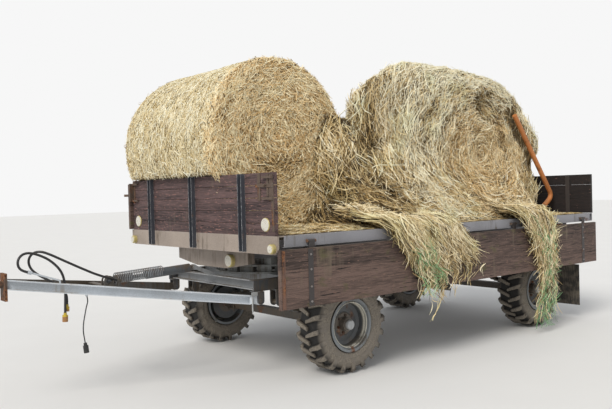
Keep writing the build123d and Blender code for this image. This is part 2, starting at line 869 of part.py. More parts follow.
# The left leg carries the short hose's pipe with its union, and the cable's gland
left_leg = drawbar_leg(1)
pipe_foot = Vector(163, -1158, leg_place(-1158)[1] + drawbar_leg_height / 2 - 4)
pipe_elbow = pipe_foot + Vector(1, -2, 24)
hose_start = Vector(*short_hose_route[0])
hose_way = (Vector(*short_hose_route[1]) - hose_start).normalized()
union_start = hose_start - hose_way * 2 * union_radius
left_leg += sleeve(hose_pipe_radius, pipe_foot, pipe_elbow - pipe_foot, (pipe_elbow - pipe_foot).length)
left_leg += Location(pipe_elbow) * Sphere(hose_pipe_radius)
left_leg += sleeve(hose_pipe_radius, pipe_elbow, union_start - pipe_elbow, (union_start - pipe_elbow).length + 6)
left_leg += sleeve(union_radius, union_start, hose_way, 2 * union_radius)
cable_start = Vector(*cable_route[0])
cable_way = (Vector(*cable_route[1]) - cable_start).normalized()
left_leg += sleeve(gland_radius, cable_start, -cable_way, 2 * gland_radius)
save("drawbar_leg_left", left_leg)
save("drawbar_leg_right", drawbar_leg(-1))

# Drawbar tie: a cross channel between the legs with the strut's lower lugs and the long hose's union
tie_half, tie_height = leg_place(cross_tie_y)
strut_foot_height = tie_height + strut_foot_rise
tie = channel_x(
    (-tie_half, tie_half),
    cross_tie_y + 25,
    (tie_height - drawbar_leg_height / 2 + 6, tie_height + drawbar_leg_height / 2 - 8),
    -50,
)
for face in (1, -1):
    ear_x = sorted((face * strut_ear_inner, face * (strut_ear_inner + 10)))
    tie += block(ear_x, (cross_tie_y - 25, cross_tie_y + 25), (tie_height, strut_foot_height))
    tie += rod_x(strut_lug_radius, ear_x, strut_foot_y, strut_foot_height)
    tie -= rod_x(
        strut_pin_radius + strut_play, (ear_x[0] - 2, ear_x[1] + 2), strut_foot_y, strut_foot_height
    )
    tie -= leg_room(face)
long_start = Vector(*long_hose_route[0])
long_way = (Vector(*long_hose_route[1]) - long_start).normalized()
bracket_y = long_start.Y + 8
tie += block(
    (long_start.X - 16, long_start.X + 16), (cross_tie_y + 24, bracket_y + 6), (tie_height - 4, tie_height + 10)
)
tie += block(
    (long_start.X - 16, long_start.X + 16), (bracket_y, bracket_y + 6), (tie_height - 4, long_start.Z + 12)
)
tie += sleeve(union_radius, long_start, -long_way, 34)
save("drawbar_tie", tie)

# Tow eye: a bolted nose plate and a forged eye with a 40 mm bore
plate_y = (drawbar_nose_y - nose_plate_thickness, drawbar_nose_y)
nose_plate = block(
    (-nose_plate_width / 2, nose_plate_width / 2),
    plate_y,
    (drawbar_nose_height - nose_plate_height / 2 - 18, drawbar_nose_height + nose_plate_height / 2 - 18),
)
eye_z = (drawbar_nose_height - tow_eye_thickness / 2, drawbar_nose_height + tow_eye_thickness / 2)
tow_eye = rod_z(tow_eye_ring_radius, 0, tow_eye_y, eye_z)
tow_eye += rod_y(24, 0, (tow_eye_y + 30, plate_y[0] + 1), drawbar_nose_height)
tow_eye += nose_plate
tow_eye -= rod_z(tow_eye_bore_radius, 0, tow_eye_y, (eye_z[0] - 5, eye_z[1] + 5))
save("tow_eye", tow_eye)

# Spring strut between the bogie and the drawbar: tube above, sprung rod below
strut_top = Vector(0, strut_top_y, strut_top_height)
strut_foot = Vector(0, strut_foot_y, strut_foot_height)
strut_way = (strut_foot - strut_top).normalized()
strut_length = (strut_foot - strut_top).length


def strut_bar(radius, start, end):
    """Round bar on the strut's line between two distances from its upper pin."""
    plane = Plane(origin=strut_top + strut_way * start, x_dir=(1, 0, 0), z_dir=strut_way)
    return extrude(plane * Circle(radius), end - start)


tube = strut_bar(strut_tube_radius, 40, strut_tube_length)
tube -= strut_bar(strut_rod_radius + 3, 60, strut_tube_length - 12)
tube -= strut_bar(strut_rod_radius + strut_slide_gap, 60, strut_tube_length + 5)
tube += strut_bar(14, 0, 42)
tube += rod_x(22, (-18, 18), strut_top_y, strut_top_height)
tube -= rod_x(strut_pin_radius + pin_clearance, (-25, 25), strut_top_y, strut_top_height)
save("strut_tube", tube)

rod = strut_bar(strut_rod_radius, 190, strut_length)
rod += strut_bar(strut_spring_radius, strut_length - 190, strut_length - 50)
rod += rod_x(strut_rod_radius + 4, (-18, 18), strut_foot_y, strut_foot_height)
rod += rod_x(
    strut_pin_radius, (-strut_ear_inner - 16, strut_ear_inner + 16), strut_foot_y, strut_foot_height
)
save("strut_rod", rod)


# Wheels: a tyre and a dished rim with hub and brake drum each
def turned(outline, place, outward):
    """Ring turned about X from (across, radius) points, facing outward, at a place."""
    profile = make_face(Polyline(*outline, close=True))
    ring = revolve(profile, Axis.X)
    if outward < 0:
        ring = mirror(ring, Plane.YZ)
    return ring.moved(Location(place))


half_tyre = tyre_width / 2
half_rim = rim_width / 2
flange_radius = rim_radius + rim_flange_height
carcass_radius = tyre_radius - lug_depth
facets = 2 * lug_count


def ring_face(x, radius):
    """Many-sided section of the tyre carcass across X, with flats of the given radius."""
    plane = Plane(origin=(x, 0, 0), x_dir=(0, 0, 1), z_dir=(1, 0, 0))
    return plane * RegularPolygon(radius, facets, major_radius=False, rotation=180 / facets)


# Tyre: a carcass with two rows of slanted lugs that wrap its shoulders
shoulder_radius = rim_radius + 0.6 * (tyre_radius - rim_radius)
carcass_sections = [
    (-half_rim, flange_radius + 6),
    (-half_tyre + 2, shoulder_radius),
    (-half_tyre + 16, carcass_radius),
    (half_tyre - 16, carcass_radius),
    (half_tyre - 2, shoulder_radius),
    (half_rim, flange_radius + 6),
]
carcass = loft([ring_face(x, radius) for x, radius in carcass_sections], ruled=True)
seat_plane = Plane(origin=(-half_rim - 1, 0, 0), x_dir=(0, 0, 1), z_dir=(1, 0, 0))
seat = RegularPolygon(rim_radius + 0.3, facets, major_radius=False, rotation=180 / facets)
tyre = carcass - extrude(seat_plane * seat, rim_width + 2)
lug_outline = Polyline(
    (-12, carcass_radius - 12),
    (-12, tyre_radius - 3),
    (half_tyre - 30, tyre_radius),
    (half_tyre - 1, tyre_radius - 20),
    (half_tyre - 1, shoulder_radius - 14),
    close=True,
)
lug = extrude(Plane.XZ * make_face(lug_outline), lug_width / 2, both=True)
lug = lug.rotate(Axis.Z, lug_slant)
for i in range(lug_count):
    turn = 360 / lug_count * i
    tyre += lug.rotate(Axis.X, turn + 180)
    tyre += mirror(lug, Plane.YZ).rotate(Axis.X, turn + 180 / lug_count)

# Rim: flanges, a deep dish with its disc, the hub with its cap and the brake drum
well = rim_radius - rim_well_drop
flange_face = half_rim + 0.5
flange_edge = flange_face + rim_thickness
bore = stub_radius + pin_clearance
drum_edge = -track / 2 + axle_beam_half_length + 12
disc_back = rim_disc_out - rim_thickness
rim_outline = [
    (flange_face, rim_radius - 0.5),
    (flange_face, flange_radius),
    (flange_edge, flange_radius),
    (flange_edge, rim_radius - 4),
    (half_rim - 24, well + 10),
    (half_rim - 30, well),
    (half_rim - 38, well - 3),
    (rim_disc_out + 10, well - 8),
    (rim_disc_out, well - 32),
    (rim_disc_out, hub_flange_radius + 14),
    (rim_disc_out + 10, hub_flange_radius),
    (rim_disc_out + 10, hub_radius + 2),
    (hub_cap_reach - 36, hub_radius - 2),
    (hub_cap_reach - 36, hub_cap_radius + 8),
    (hub_cap_reach - 5, hub_cap_radius),
    (hub_cap_reach, hub_cap_radius - 6),
    (hub_cap_reach, 0),
    (hub_cap_reach - 14, 0),
    (hub_cap_reach - 14, bore),
    (drum_edge, bore),
    (drum_edge, brake_drum_radius),
    (disc_back - 16, brake_drum_radius),
    (disc_back - 16, hub_flange_radius + 18),
    (disc_back, hub_flange_radius + 18),
    (disc_back, well - 26),
    (10 + disc_back, well + 1),
    (-flange_edge, rim_radius - 4),
    (-flange_edge, flange_radius),
    (-flange_face, flange_radius),
    (-flange_face, rim_radius - 0.5),
]
corners = {
    "front_left": (track / 2, front_y, 1),
    "front_right": (-track / 2, front_y, -1),
    "rear_left": (track / 2, rear_y, 1),
    "rear_right": (-track / 2, rear_y, -1),
}
for corner, (x, y, outward) in corners.items():
    turned_tyre = tyre if outward > 0 else mirror(tyre, Plane.YZ)
    save(f"tyre_{corner}", turned_tyre.moved(Location((x, y, axle_height))))
    save(f"rim_{corner}", turned(rim_outline, (x, y, axle_height), outward))

# Mud flaps behind the rear wheels, on arms under the rear beam
flap_x = track / 2
flap_y = rear_y + tyre_radius + flap_gap
beam_y = deck_length - front_beam_flange / 2
flaps = []
arms = []
for side in (1, -1):
    arm_x = (side * flap_x - flap_arm_width / 2, side * flap_x + flap_arm_width / 2)
    arm = block(arm_x, (min(flap_y, beam_y), max(flap_y, beam_y)), (side_rail_bottom - steel_web, side_rail_bottom))
    arm += block(arm_x, (flap_y, flap_y + steel_web), (flap_top - 60, side_rail_bottom))
    arms.append(arm)
    flaps.append(
        block(
            (side * flap_x - flap_width / 2, side * flap_x + flap_width / 2),
            (flap_y - flap_thickness, flap_y),
            (flap_ground_gap, flap_top),
        )
    )
save("flap_arms", *arms)
save("mud_flaps", *flaps)

# Front bale: a round bale on its side, sagged a little onto the deck
bale_centre_z = deck_height + front_bale_half_height - front_bale_sag
front_bale_far_x = front_bale_far_gap - board_inner
bale_face = Plane.YZ * Ellipse(front_bale_half_width, front_bale_half_height)
front_bale = extrude(bale_face, front_bale_near_x - front_bale_far_x)
front_bale = fillet(front_bale.edges(), front_bale_edge)
front_bale = front_bale.moved(Location((front_bale_far_x, front_bale_y, bale_centre_z)))
headboard_space = block(
    (-deck_width, deck_width),
    (-deck_length, headboard_thickness + soft_gap),
    (0, deck_height + headboard_height + soft_gap),
)
front_bale -= headboard_space
front_bale -= block((-deck_width, deck_width), (-deck_length, deck_length), (0, deck_height + soft_gap))
save("hay_bale_front", front_bale)

# Rear bale: half pulled apart into a heap with rounded shoulders, its far front corner fallen away
heap_rear_y = tail_inner_y - heap_rear_gap
heap_far_x = heap_far_gap - board_inner
heap_length = heap_rear_y - heap_front_y
heap_points = [(heap_front_y + along * heap_length, deck_height + up * heap_height) for along, up in heap_shape]
heap_top = Spline(*heap_points)
heap_rest = Polyline(
    heap_points[-1],
    (heap_rear_y, deck_height + soft_gap),
    (heap_foot_y, deck_height + soft_gap),
    heap_points[0],
)
heap_side = (Plane.YZ * make_face([heap_top, heap_rest])).moved(Location((heap_near_x, 0, 0)))
heap_width = heap_near_x - heap_far_x
heap = extrude(heap_side, heap_width, dir=(-1, 0, 0))
heap &= extrude(heap_side, heap_width * math.hypot(1, heap_run_back), dir=(-1, heap_run_back, 0))
heap_section = block((heap_far_x, heap_near_x), (heap_front_y - 100, heap_rear_y + 100), (deck_height, deck_height + heap_height))
shoulders = heap_section.edges().filter_by(Axis.Y).group_by(Axis.Z)[-1]
heap &= fillet(shoulders, heap_shoulder)
front_bale_room = extrude(
    Plane.YZ * Ellipse(front_bale_half_width + soft_gap, front_bale_half_height + soft_gap), -deck_width * 2
)
heap -= front_bale_room.moved(Location((deck_width, front_bale_y, bale_centre_z)))
save("hay_bale_rear", heap)

# Load bar: a bent steel tube that lies against the rear bale
load_bar_x = heap_near_x + load_bar_radius + soft_gap
load_bar_line = FilletPolyline(
    (load_bar_x, heap_rear_y - load_bar_top_back, deck_height + load_bar_top_rise),
    (load_bar_x, heap_rear_y - load_bar_elbow_back, deck_height + load_bar_elbow_rise),
    (load_bar_x, heap_rear_y - load_bar_foot_back, deck_height + load_bar_foot_rise),
    radius=load_bar_bend,
)
load_bar = sweep(Plane(load_bar_line @ 0, z_dir=load_bar_line % 0) * Circle(load_bar_radius), load_bar_line)
save("load_bar", load_bar)


# Air hoses and lighting cable: tubes along their routes, bent as widely as their runs allow
def cord(route, diameter):
    """Tube of the given diameter along a route, and the direction in which it ends."""
    points = [Vector(*place) for place in route]
    runs = [after - before for before, after in zip(points, points[1:])]
    radii = []
    for before, after in zip(runs, runs[1:]):
        half_turn = math.radians(before.get_angle(after)) / 2
        radii.append(0.45 * min(before.length, after.length) / math.tan(half_turn))
    line = FilletPolyline(*points, radius=radii)
    tube = sweep(Plane(line @ 0, z_dir=line % 0) * Circle(diameter / 2), line)
    section = math.pi * diameter**2 / 4
    print("cord radii", [round(radius) for radius in radii])
    print("cord length", round(line.length), "volume over section times length", round(tube.volume / section / line.length, 4))
    return tube, runs[-1].normalized()


long_hose, long_end = cord(long_hose_route, hose_diameter)
short_hose, short_end = cord(short_hose_route, hose_diameter)
light_cable, cable_end = cord(cable_route, cable_diameter)
save("air_hose_long", long_hose)
save("air_hose_short", short_hose)
save("light_cable", light_cable)

# Couplings on the hoses' free ends, each a ferrule, a head and a claw
couplings = []
hose_ends = [
    (long_hose_route[-1], long_end, long_coupling_radius, long_coupling_length),
    (short_hose_route[-1], short_end, short_coupling_radius, short_coupling_length),
]
for point, way, radius, length in hose_ends:
    start = Vector(*point)
    coupling = sleeve(ferrule_radius, start, way, ferrule_length)
    head = start + way * ferrule_length
    coupling += sleeve(radius, head, way, length)
    coupling += sleeve(radius * 0.45, head + way * length * 0.6 + Vector(radius * 0.4, 0, 0), (1, 0, 0), radius)
    couplings.append(coupling)
save("hose_couplings", *couplings)

# Plug on the cable's free end
plug_start = Vector(*cable_route[-1])
plug = sleeve(plug_neck_radius, plug_start, cable_end, 18)
plug += sleeve(plug_radius, plug_start + cable_end * 18, cable_end, plug_length)
save("cable_plug", plug)
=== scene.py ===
"""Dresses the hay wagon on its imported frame: hoses, timber, iron, wheels, straw, camera and light."""
import logging
import math
from dataclasses import dataclass
from enum import Enum
from typing import Any, Callable, Sequence

import bpy
import numpy as np
from mathutils import Matrix, Vector
from mathutils.bvhtree import BVHTree


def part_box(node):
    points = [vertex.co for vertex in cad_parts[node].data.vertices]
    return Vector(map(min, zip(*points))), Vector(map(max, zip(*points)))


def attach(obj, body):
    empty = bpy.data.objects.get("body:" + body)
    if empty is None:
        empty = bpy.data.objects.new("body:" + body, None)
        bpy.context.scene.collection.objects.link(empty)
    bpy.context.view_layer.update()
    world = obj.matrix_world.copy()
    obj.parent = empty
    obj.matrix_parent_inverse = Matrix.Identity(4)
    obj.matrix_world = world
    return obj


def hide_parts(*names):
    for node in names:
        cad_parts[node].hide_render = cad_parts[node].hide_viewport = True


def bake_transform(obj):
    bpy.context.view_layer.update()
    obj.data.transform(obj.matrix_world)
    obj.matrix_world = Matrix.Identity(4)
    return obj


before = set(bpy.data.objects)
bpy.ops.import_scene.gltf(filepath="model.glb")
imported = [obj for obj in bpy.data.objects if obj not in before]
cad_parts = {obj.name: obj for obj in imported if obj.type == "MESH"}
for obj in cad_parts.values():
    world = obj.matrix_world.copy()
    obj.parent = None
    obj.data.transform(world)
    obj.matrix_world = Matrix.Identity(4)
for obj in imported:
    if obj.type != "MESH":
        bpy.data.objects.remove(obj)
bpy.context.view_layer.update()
LOG = logging.getLogger("hay_wagon")

# The deck's height, and how far out the straw may lie where the near board closes, in metres
DECK_TOP = 1.1
CLOSED_BOARD = 1.066

# Kinds of sockets that the node groups have
FLOAT = "NodeSocketFloat"
COLOUR = "NodeSocketColor"
VECTOR = "NodeSocketVector"

Point = tuple[float, float, float]
Colour = tuple[float, float, float]
Outline = tuple[tuple[float, float], ...]
Piece = bpy.types.Object
Socket = bpy.types.NodeSocket
Node = bpy.types.Node
Array = np.ndarray
Lay = Callable[[Array, Array], Array]
Share = Callable[[Array, Array], Array]


class Grain(Enum):
    """The way the fibres of a board run, as how much a pattern is squeezed along each axis."""

    ACROSS = (1.0, 24.0, 24.0)
    LENGTHWAYS = (24.0, 1.0, 24.0)


class NodeSheet:
    """Adds and joins the nodes of one material or group."""

    def __init__(self, tree: bpy.types.NodeTree) -> None:
        """Keeps the tree that the nodes go into."""
        self.tree = tree

    def add(self, kind: str, feeds: dict[Any, Any] | None = None, **choices: Any) -> Node:
        """Adds a node, sets its choices and feeds its sockets.

        Args:
            kind: The node's type.
            feeds: A value or a socket for each input, by name or number.
            choices: The node's own settings.

        Returns:
            The new node.
        """
        node = self.tree.nodes.new(kind)
        for name, value in choices.items():
            setattr(node, name, value)
        for name, value in (feeds or {}).items():
            self.feed(node.inputs[name], value)
        return node

    def feed(self, socket: Socket, value: Any) -> None:
        """Gives a socket a value or a link.

        Args:
            socket: The socket.
            value: The value, or the socket that it is linked to.
        """
        if isinstance(value, Socket):
            self.tree.links.new(value, socket)
        elif socket.type == "RGBA" and len(value) == 3:
            socket.default_value = (*value, 1.0)
        else:
            socket.default_value = value

    def mix(self, share: Any, first: Any, second: Any, blend: str = "MIX") -> Socket:
        """Mixes two colours.

        Args:
            share: How much of the second colour shows.
            first: The first colour or socket.
            second: The second colour or socket.
            blend: The way they are mixed.

        Returns:
            The mixed colour.
        """
        node = self.add("ShaderNodeMix", data_type="RGBA", blend_type=blend)
        self.feed(node.inputs[0], share)
        self.feed(node.inputs[6], first)
        self.feed(node.inputs[7], second)
        return node.outputs[2]

    def sum(self, kind: str, *values: Any, clamp: bool = False) -> Socket:
        """Does one sum on numbers.

        Args:
            kind: The sum, as Blender names it.
            values: Its numbers or sockets, in order.
            clamp: Whether the answer stays from 0 to 1.

        Returns:
            The answer.
        """
        node = self.add("ShaderNodeMath", dict(enumerate(values)), operation=kind, use_clamp=clamp)
        return node.outputs[0]

    def plus(self, *values: Any, clamp: bool = False) -> Socket:
        """Adds two numbers."""
        return self.sum("ADD", *values, clamp=clamp)

    def minus(self, *values: Any) -> Socket:
        """Takes the second number from the first."""
        return self.sum("SUBTRACT", *values)

    def times(self, *values: Any, clamp: bool = False) -> Socket:
        """Multiplies two numbers."""
        return self.sum("MULTIPLY", *values, clamp=clamp)

    def vector(self, kind: str, *values: Any) -> Socket:
        """Does one sum on coordinates."""
        return self.add("ShaderNodeVectorMath", dict(enumerate(values)), operation=kind).outputs[0]

    def axis(self, number: int, where: Any) -> Socket:
        """Gives one of three coordinates."""
        return self.add("ShaderNodeSeparateXYZ", {0: where}).outputs[number]

    def normal(self) -> Socket:
        """Gives the surface's normal."""
        return self.add("ShaderNodeNewGeometry").outputs["Normal"]

    def ramp(self, share: Any, stops: Sequence[tuple[float, Colour]]) -> Socket:
        """Turns a number into a colour.

        Args:
            share: The number, from 0 to 1.
            stops: A place and a colour each.

        Returns:
            The colour.
        """
        node = self.add("ShaderNodeValToRGB", {0: share})
        points = node.color_ramp.elements
        while len(points) < len(stops):
            points.new(1.0)
        for point, (place, colour) in zip(points, stops):
            point.position = place
            point.color = (*colour, 1.0)
        return node.outputs[0]

    def band(self, value: Any, low: float, high: float) -> Socket:
        """Rises smoothly from 0 to 1 between two values."""
        node = self.add("ShaderNodeMapRange", {0: value, 1: low, 2: high}, interpolation_type="SMOOTHSTEP")
        return node.outputs[0]

    def place(self, scale: Any = (1.0, 1.0, 1.0), shift: Point = (0.0, 0.0, 0.0)) -> Socket:
        """Gives the object's own coordinates, moved and then stretched."""
        where = self.add("ShaderNodeTexCoord").outputs["Object"]
        return self.vector("MULTIPLY", self.vector("ADD", where, shift), scale)

    def noise(self, where: Any, scale: Any, detail: float = 4.0, twist: float = 0.0) -> Socket:
        """Adds a noise.

        Args:
            where: The coordinates.
            scale: How fine it is.
            detail: How many finer layers it has.
            twist: How much it is distorted.

        Returns:
            Its number, about 0.5 on average.
        """
        feeds = {"Vector": where, "Scale": scale, "Detail": detail, "Distortion": twist}
        return self.add("ShaderNodeTexNoise", feeds).outputs["Fac"]


class SharedEffect:
    """A node group that several finishes use."""

    made: dict[str, bpy.types.NodeTree] = {}

    def __init__(self, name: str, takes: Sequence[tuple[str, str, Any]],
                 gives: Sequence[tuple[str, str]]) -> None:
        """Makes the group with its named sockets.

        Args:
            name: The group's name.
            takes: A name, a kind and a first value for each input.
            gives: A name and a kind for each output.
        """
        tree = bpy.data.node_groups.new(name, "ShaderNodeTree")
        for label, kind, value in takes:
            socket = tree.interface.new_socket(label, in_out="INPUT", socket_type=kind)
            socket.default_value = value
        for label, kind in gives:
            tree.interface.new_socket(label, in_out="OUTPUT", socket_type=kind)
        self.sheet = NodeSheet(tree)
        self.takes = tree.nodes.new("NodeGroupInput").outputs
        self.gives = tree.nodes.new("NodeGroupOutput").inputs
        SharedEffect.made[name] = tree

    def give(self, **answers: Any) -> None:
        """Joins the answers to the outputs of the same names."""
        for label, value in answers.items():
            self.sheet.feed(self.gives[label], value)


def make_weather() -> None:
    """Makes the group that lays dirt in patches, in runs and on what faces up."""
    takes = [("Colour", COLOUR, (0.5, 0.5, 0.5, 1.0)), ("Dirt", COLOUR, (0.2, 0.15, 0.1, 1.0))]
    takes += [("Amount", FLOAT, 0.4), ("Scale", FLOAT, 4.0)]
    group = SharedEffect("Weather", takes, [("Colour", COLOUR), ("Mask", FLOAT), ("Height", FLOAT)])
    s = group.sheet
    patches = s.noise(s.place(), group.takes["Scale"], 7.0)
    runs = s.noise(s.place((9.0, 9.0, 0.9)), group.takes["Scale"], 4.0)
    top = s.times(s.sum("MAXIMUM", s.axis(2, s.normal()), 0.0), 0.12)
    spread = s.plus(s.plus(s.times(patches, 0.6), s.times(runs, 0.4)), top)
    start = s.minus(0.72, s.times(group.takes["Amount"], 0.45))
    mask = s.times(s.minus(spread, start), 7.0, clamp=True)
    speck = s.noise(s.place(), 170.0, 3.0)
    dusty = s.mix(s.times(mask, 0.85), group.takes["Colour"], group.takes["Dirt"])
    shade = s.ramp(speck, [(0.3, (0.72, 0.72, 0.72)), (0.7, (1.22, 1.22, 1.22))])
    group.give(Colour=s.mix(0.55, dusty, s.mix(1.0, dusty, shade, "MULTIPLY")), Mask=mask)
    group.give(Height=s.plus(s.times(mask, 0.6), s.times(speck, 0.4)))


def make_rust() -> None:
    """Makes the group that puts rust in blooms and pits."""
    takes = [("Colour", COLOUR, (0.5, 0.5, 0.5, 1.0)), ("Amount", FLOAT, 0.3), ("Scale", FLOAT, 9.0)]
    group = SharedEffect("Rust", takes, [("Colour", COLOUR), ("Mask", FLOAT), ("Height", FLOAT)])
    s = group.sheet
    bloom = s.noise(s.place((1.0, 1.0, 0.8)), group.takes["Scale"], 8.0, 0.4)
    start = s.minus(0.78, s.times(group.takes["Amount"], 0.5))
    mask = s.times(s.minus(bloom, start), 9.0, clamp=True)
    tint = s.noise(s.place(), 55.0, 5.0)
    rust = s.ramp(tint,
                  [(0.3, (0.035, 0.016, 0.01)), (0.5, (0.16, 0.062, 0.026)), (0.72, (0.36, 0.16, 0.06))])
    group.give(Colour=s.mix(mask, group.takes["Colour"], rust), Mask=mask, Height=s.times(mask, tint))


def make_edge_wear() -> None:
    """Makes the group that finds the edges where paint has rubbed thin."""
    group = SharedEffect("Edge wear", [("Amount", FLOAT, 0.5)], [("Mask", FLOAT)])
    s = group.sheet
    soft = s.add("ShaderNodeBevel", {"Radius": 0.004}, samples=4).outputs[0]
    agree = s.add("ShaderNodeVectorMath", {0: soft, 1: s.normal()}, operation="DOT_PRODUCT").outputs["Value"]
    edge = s.times(s.minus(1.0, agree), 9.0, clamp=True)
    chips = s.band(s.noise(s.place(), 38.0, 5.0), 0.36, 0.6)
    group.give(Mask=s.times(s.times(edge, chips), group.takes["Amount"], clamp=True))


def make_timber() -> None:
    """Makes the group that draws long grain, checks and weathered bands."""
    takes = [("Light", COLOUR, (0.2, 0.15, 0.1, 1.0)), ("Dark", COLOUR, (0.05, 0.03, 0.02, 1.0))]
    takes += [("Squeeze", VECTOR, (24.0, 1.0, 24.0)), ("Plank", VECTOR, (0.0, 0.0, 8.0))]
    group = SharedEffect("Timber", takes, [("Colour", COLOUR), ("Height", FLOAT)])
    s = group.sheet
    along = s.place(group.takes["Squeeze"])
    fine = s.noise(along, 9.0, 9.0, 0.3)
    broad = s.noise(along, 1.3, 4.0, 1.0)
    checks = s.band(s.noise(along, 3.1, 2.0, 0.5), 0.645, 0.70)
    plank = s.vector("FLOOR", s.place(group.takes["Plank"]))
    own = s.add("ShaderNodeTexWhiteNoise", {0: plank}).outputs["Value"]
    tone = s.plus(s.times(fine, 0.95), s.times(broad, 0.55))
    tone = s.plus(tone, s.times(s.minus(own, 0.5), 0.22))
    wood = s.mix(s.band(tone, 0.45, 1.05), group.takes["Dark"], group.takes["Light"])
    group.give(Colour=s.mix(checks, wood, (0.008, 0.006, 0.005)))
    group.give(Height=s.minus(fine, s.times(checks, 0.8)))


def make_fibres() -> None:
    """Makes the group that draws packed straw fibres in three directions, darkened by the shade depth as
    painted shade.
    """
    group = SharedEffect("Fibres", [("Depth", FLOAT, 0.5)], [("Tone", FLOAT), ("Height", FLOAT)])
    s = group.sheet
    warp = s.add("ShaderNodeTexNoise", {"Vector": s.place(), "Scale": 3.0}).outputs["Color"]
    bent = s.vector("MULTIPLY", warp, (0.35, 0.35, 0.35))
    layers = []
    for stretch in ((3.0, 26.0, 26.0), (26.0, 3.0, 20.0), (20.0, 22.0, 3.0)):
        where = s.vector("MULTIPLY", s.vector("ADD", s.place(), bent), stretch)
        layers.append(s.noise(where, 4.2, 5.0, 0.6))
    most = s.sum("MAXIMUM", layers[0], s.sum("MAXIMUM", layers[1], layers[2]))
    lumps = s.noise(s.place(), 5.0, 5.0)
    tone = s.plus(s.times(s.band(most, 0.48, 0.76), 0.75), s.times(lumps, 0.35))
    # The tone falls as the shade depth rises: painted shade
    group.give(Tone=s.times(tone, s.minus(1.5, group.takes["Depth"])), Height=most)


@dataclass(frozen=True)
class Finish:
    """What every finish has: a name, and how it is put on a piece."""

    name: str

    def group(self, sheet: NodeSheet, effect: str, **feeds: Any) -> Node:
        """Places a shared effect in the material and feeds it.

        Args:
            sheet: The material's nodes.
            effect: The effect's name.
            feeds: A value or a socket for each input, by name.

        Returns:
            The effect's node.
        """
        node = sheet.add("ShaderNodeGroup", node_tree=SharedEffect.made[effect])
        for label, value in feeds.items():
            sheet.feed(node.inputs[label], value)
        return node

    def relief(self, sheet: NodeSheet, shader: Node, height: Any, depth: float, strength: float) -> None:
        """Feeds a height to the shader's normal, that many metres deep."""
        bump = sheet.add("ShaderNodeBump", {"Height": height, "Distance": depth, "Strength": strength})
        sheet.feed(shader.inputs["Normal"], bump.outputs[0])

    def coat(self, sheet: NodeSheet, shader: Node, colour: Any, rough: Any) -> None:
        """Feeds a colour and a roughness to the shader."""
        sheet.feed(shader.inputs["Base Color"], colour)
        sheet.feed(shader.inputs["Roughness"], rough)

    def make(self) -> bpy.types.Material:
        """Gives the finished material, made on first use.

        Returns:
            The material.
        """
        material = bpy.data.materials.get(self.name)
        if material is None:
            material = bpy.data.materials.new(self.name)
            material.use_nodes = True
            self.fill(NodeSheet(material.node_tree), material.node_tree.nodes["Principled BSDF"])
        return material

    def fill(self, sheet: NodeSheet, shader: Node) -> None:
        """Adds this finish's own nodes."""
        raise NotImplementedError


@dataclass(frozen=True)
class PaintedSteel(Finish):
    """Old paint on steel, with dirt, rust and rubbed edges."""

    paint: Colour = (0.3, 0.3, 0.3)
    bare: Colour = (0.42, 0.42, 0.42)
    dirt: Colour = (0.10, 0.075, 0.05)
    dirt_amount: float = 0.4
    rust_amount: float = 0.25
    edge_amount: float = 0.6
    roughness: float = 0.55
    scale: float = 4.0

    def fill(self, sheet: NodeSheet, shader: Node) -> None:
        """Adds this finish's own nodes.

        Args:
            sheet: The material's nodes.
            shader: The material's shader.
        """
        tint = sheet.noise(sheet.place(), 2.3, 3.0)
        worn = sheet.mix(sheet.band(tint, 0.35, 0.68), self.paint, tuple(0.78 * c for c in self.paint))
        edge = self.group(sheet, "Edge wear", Amount=self.edge_amount)
        rubbed = sheet.mix(edge.outputs["Mask"], worn, self.bare)
        rust = self.group(sheet, "Rust", Colour=rubbed, Amount=self.rust_amount)
        soil = self.group(sheet, "Weather", Colour=rust.outputs["Colour"], Dirt=self.dirt, Scale=self.scale)
        sheet.feed(soil.inputs["Amount"], self.dirt_amount)
        rough = sheet.plus(self.roughness, sheet.times(rust.outputs["Mask"], 0.3), clamp=True)
        self.coat(sheet, shader, soil.outputs["Colour"], rough)
        relief = sheet.plus(soil.outputs["Height"], rust.outputs["Height"])
        self.relief(sheet, shader, relief, 0.0012, 0.55)


@dataclass(frozen=True)
class Timber(Finish):
    """Weathered planks, with what is left of their stain."""

    light: Colour = (0.16, 0.11, 0.08)
    dark: Colour = (0.05, 0.032, 0.025)
    flecks: Colour = (0.3, 0.16, 0.13)
    fleck_amount: float = 0.2
    moss: Colour = (0.10, 0.09, 0.035)
    moss_amount: float = 0.0
    grain: Grain = Grain.LENGTHWAYS
    plank: Point = (0.0, 0.0, 8.0)
    dirt_amount: float = 0.3

    def fill(self, sheet: NodeSheet, shader: Node) -> None:
        """Adds this finish's own nodes.

        Args:
            sheet: The material's nodes.
            shader: The material's shader.
        """
        wood = self.group(sheet, "Timber", Light=self.light, Dark=self.dark, Squeeze=self.grain.value,
                          Plank=self.plank)
        squeeze = tuple(math.sqrt(v) for v in self.grain.value)
        peel = sheet.noise(sheet.place(squeeze), 26.0, 6.0, 0.3)
        share = sheet.band(peel, 0.66 - 0.2 * self.fleck_amount, 0.74 - 0.2 * self.fleck_amount)
        faded = sheet.mix(sheet.times(share, 0.8), wood.outputs["Colour"], self.flecks)
        green = sheet.band(sheet.noise(sheet.place((1.0, 1.0, 2.0)), 6.0, 8.0),
                           0.62 - 0.25 * self.moss_amount, 0.75)
        mossy = sheet.mix(sheet.times(green, 0.8 if self.moss_amount else 0.0), faded, self.moss)
        soil = self.group(sheet, "Weather", Colour=mossy, Dirt=(0.17, 0.13, 0.09), Amount=self.dirt_amount,
                          Scale=3.0)
        rough = sheet.minus(0.86, sheet.times(wood.outputs["Height"], 0.2))
        self.coat(sheet, shader, soil.outputs["Colour"], rough)
        self.relief(sheet, shader, wood.outputs["Height"], 0.003, 0.7)


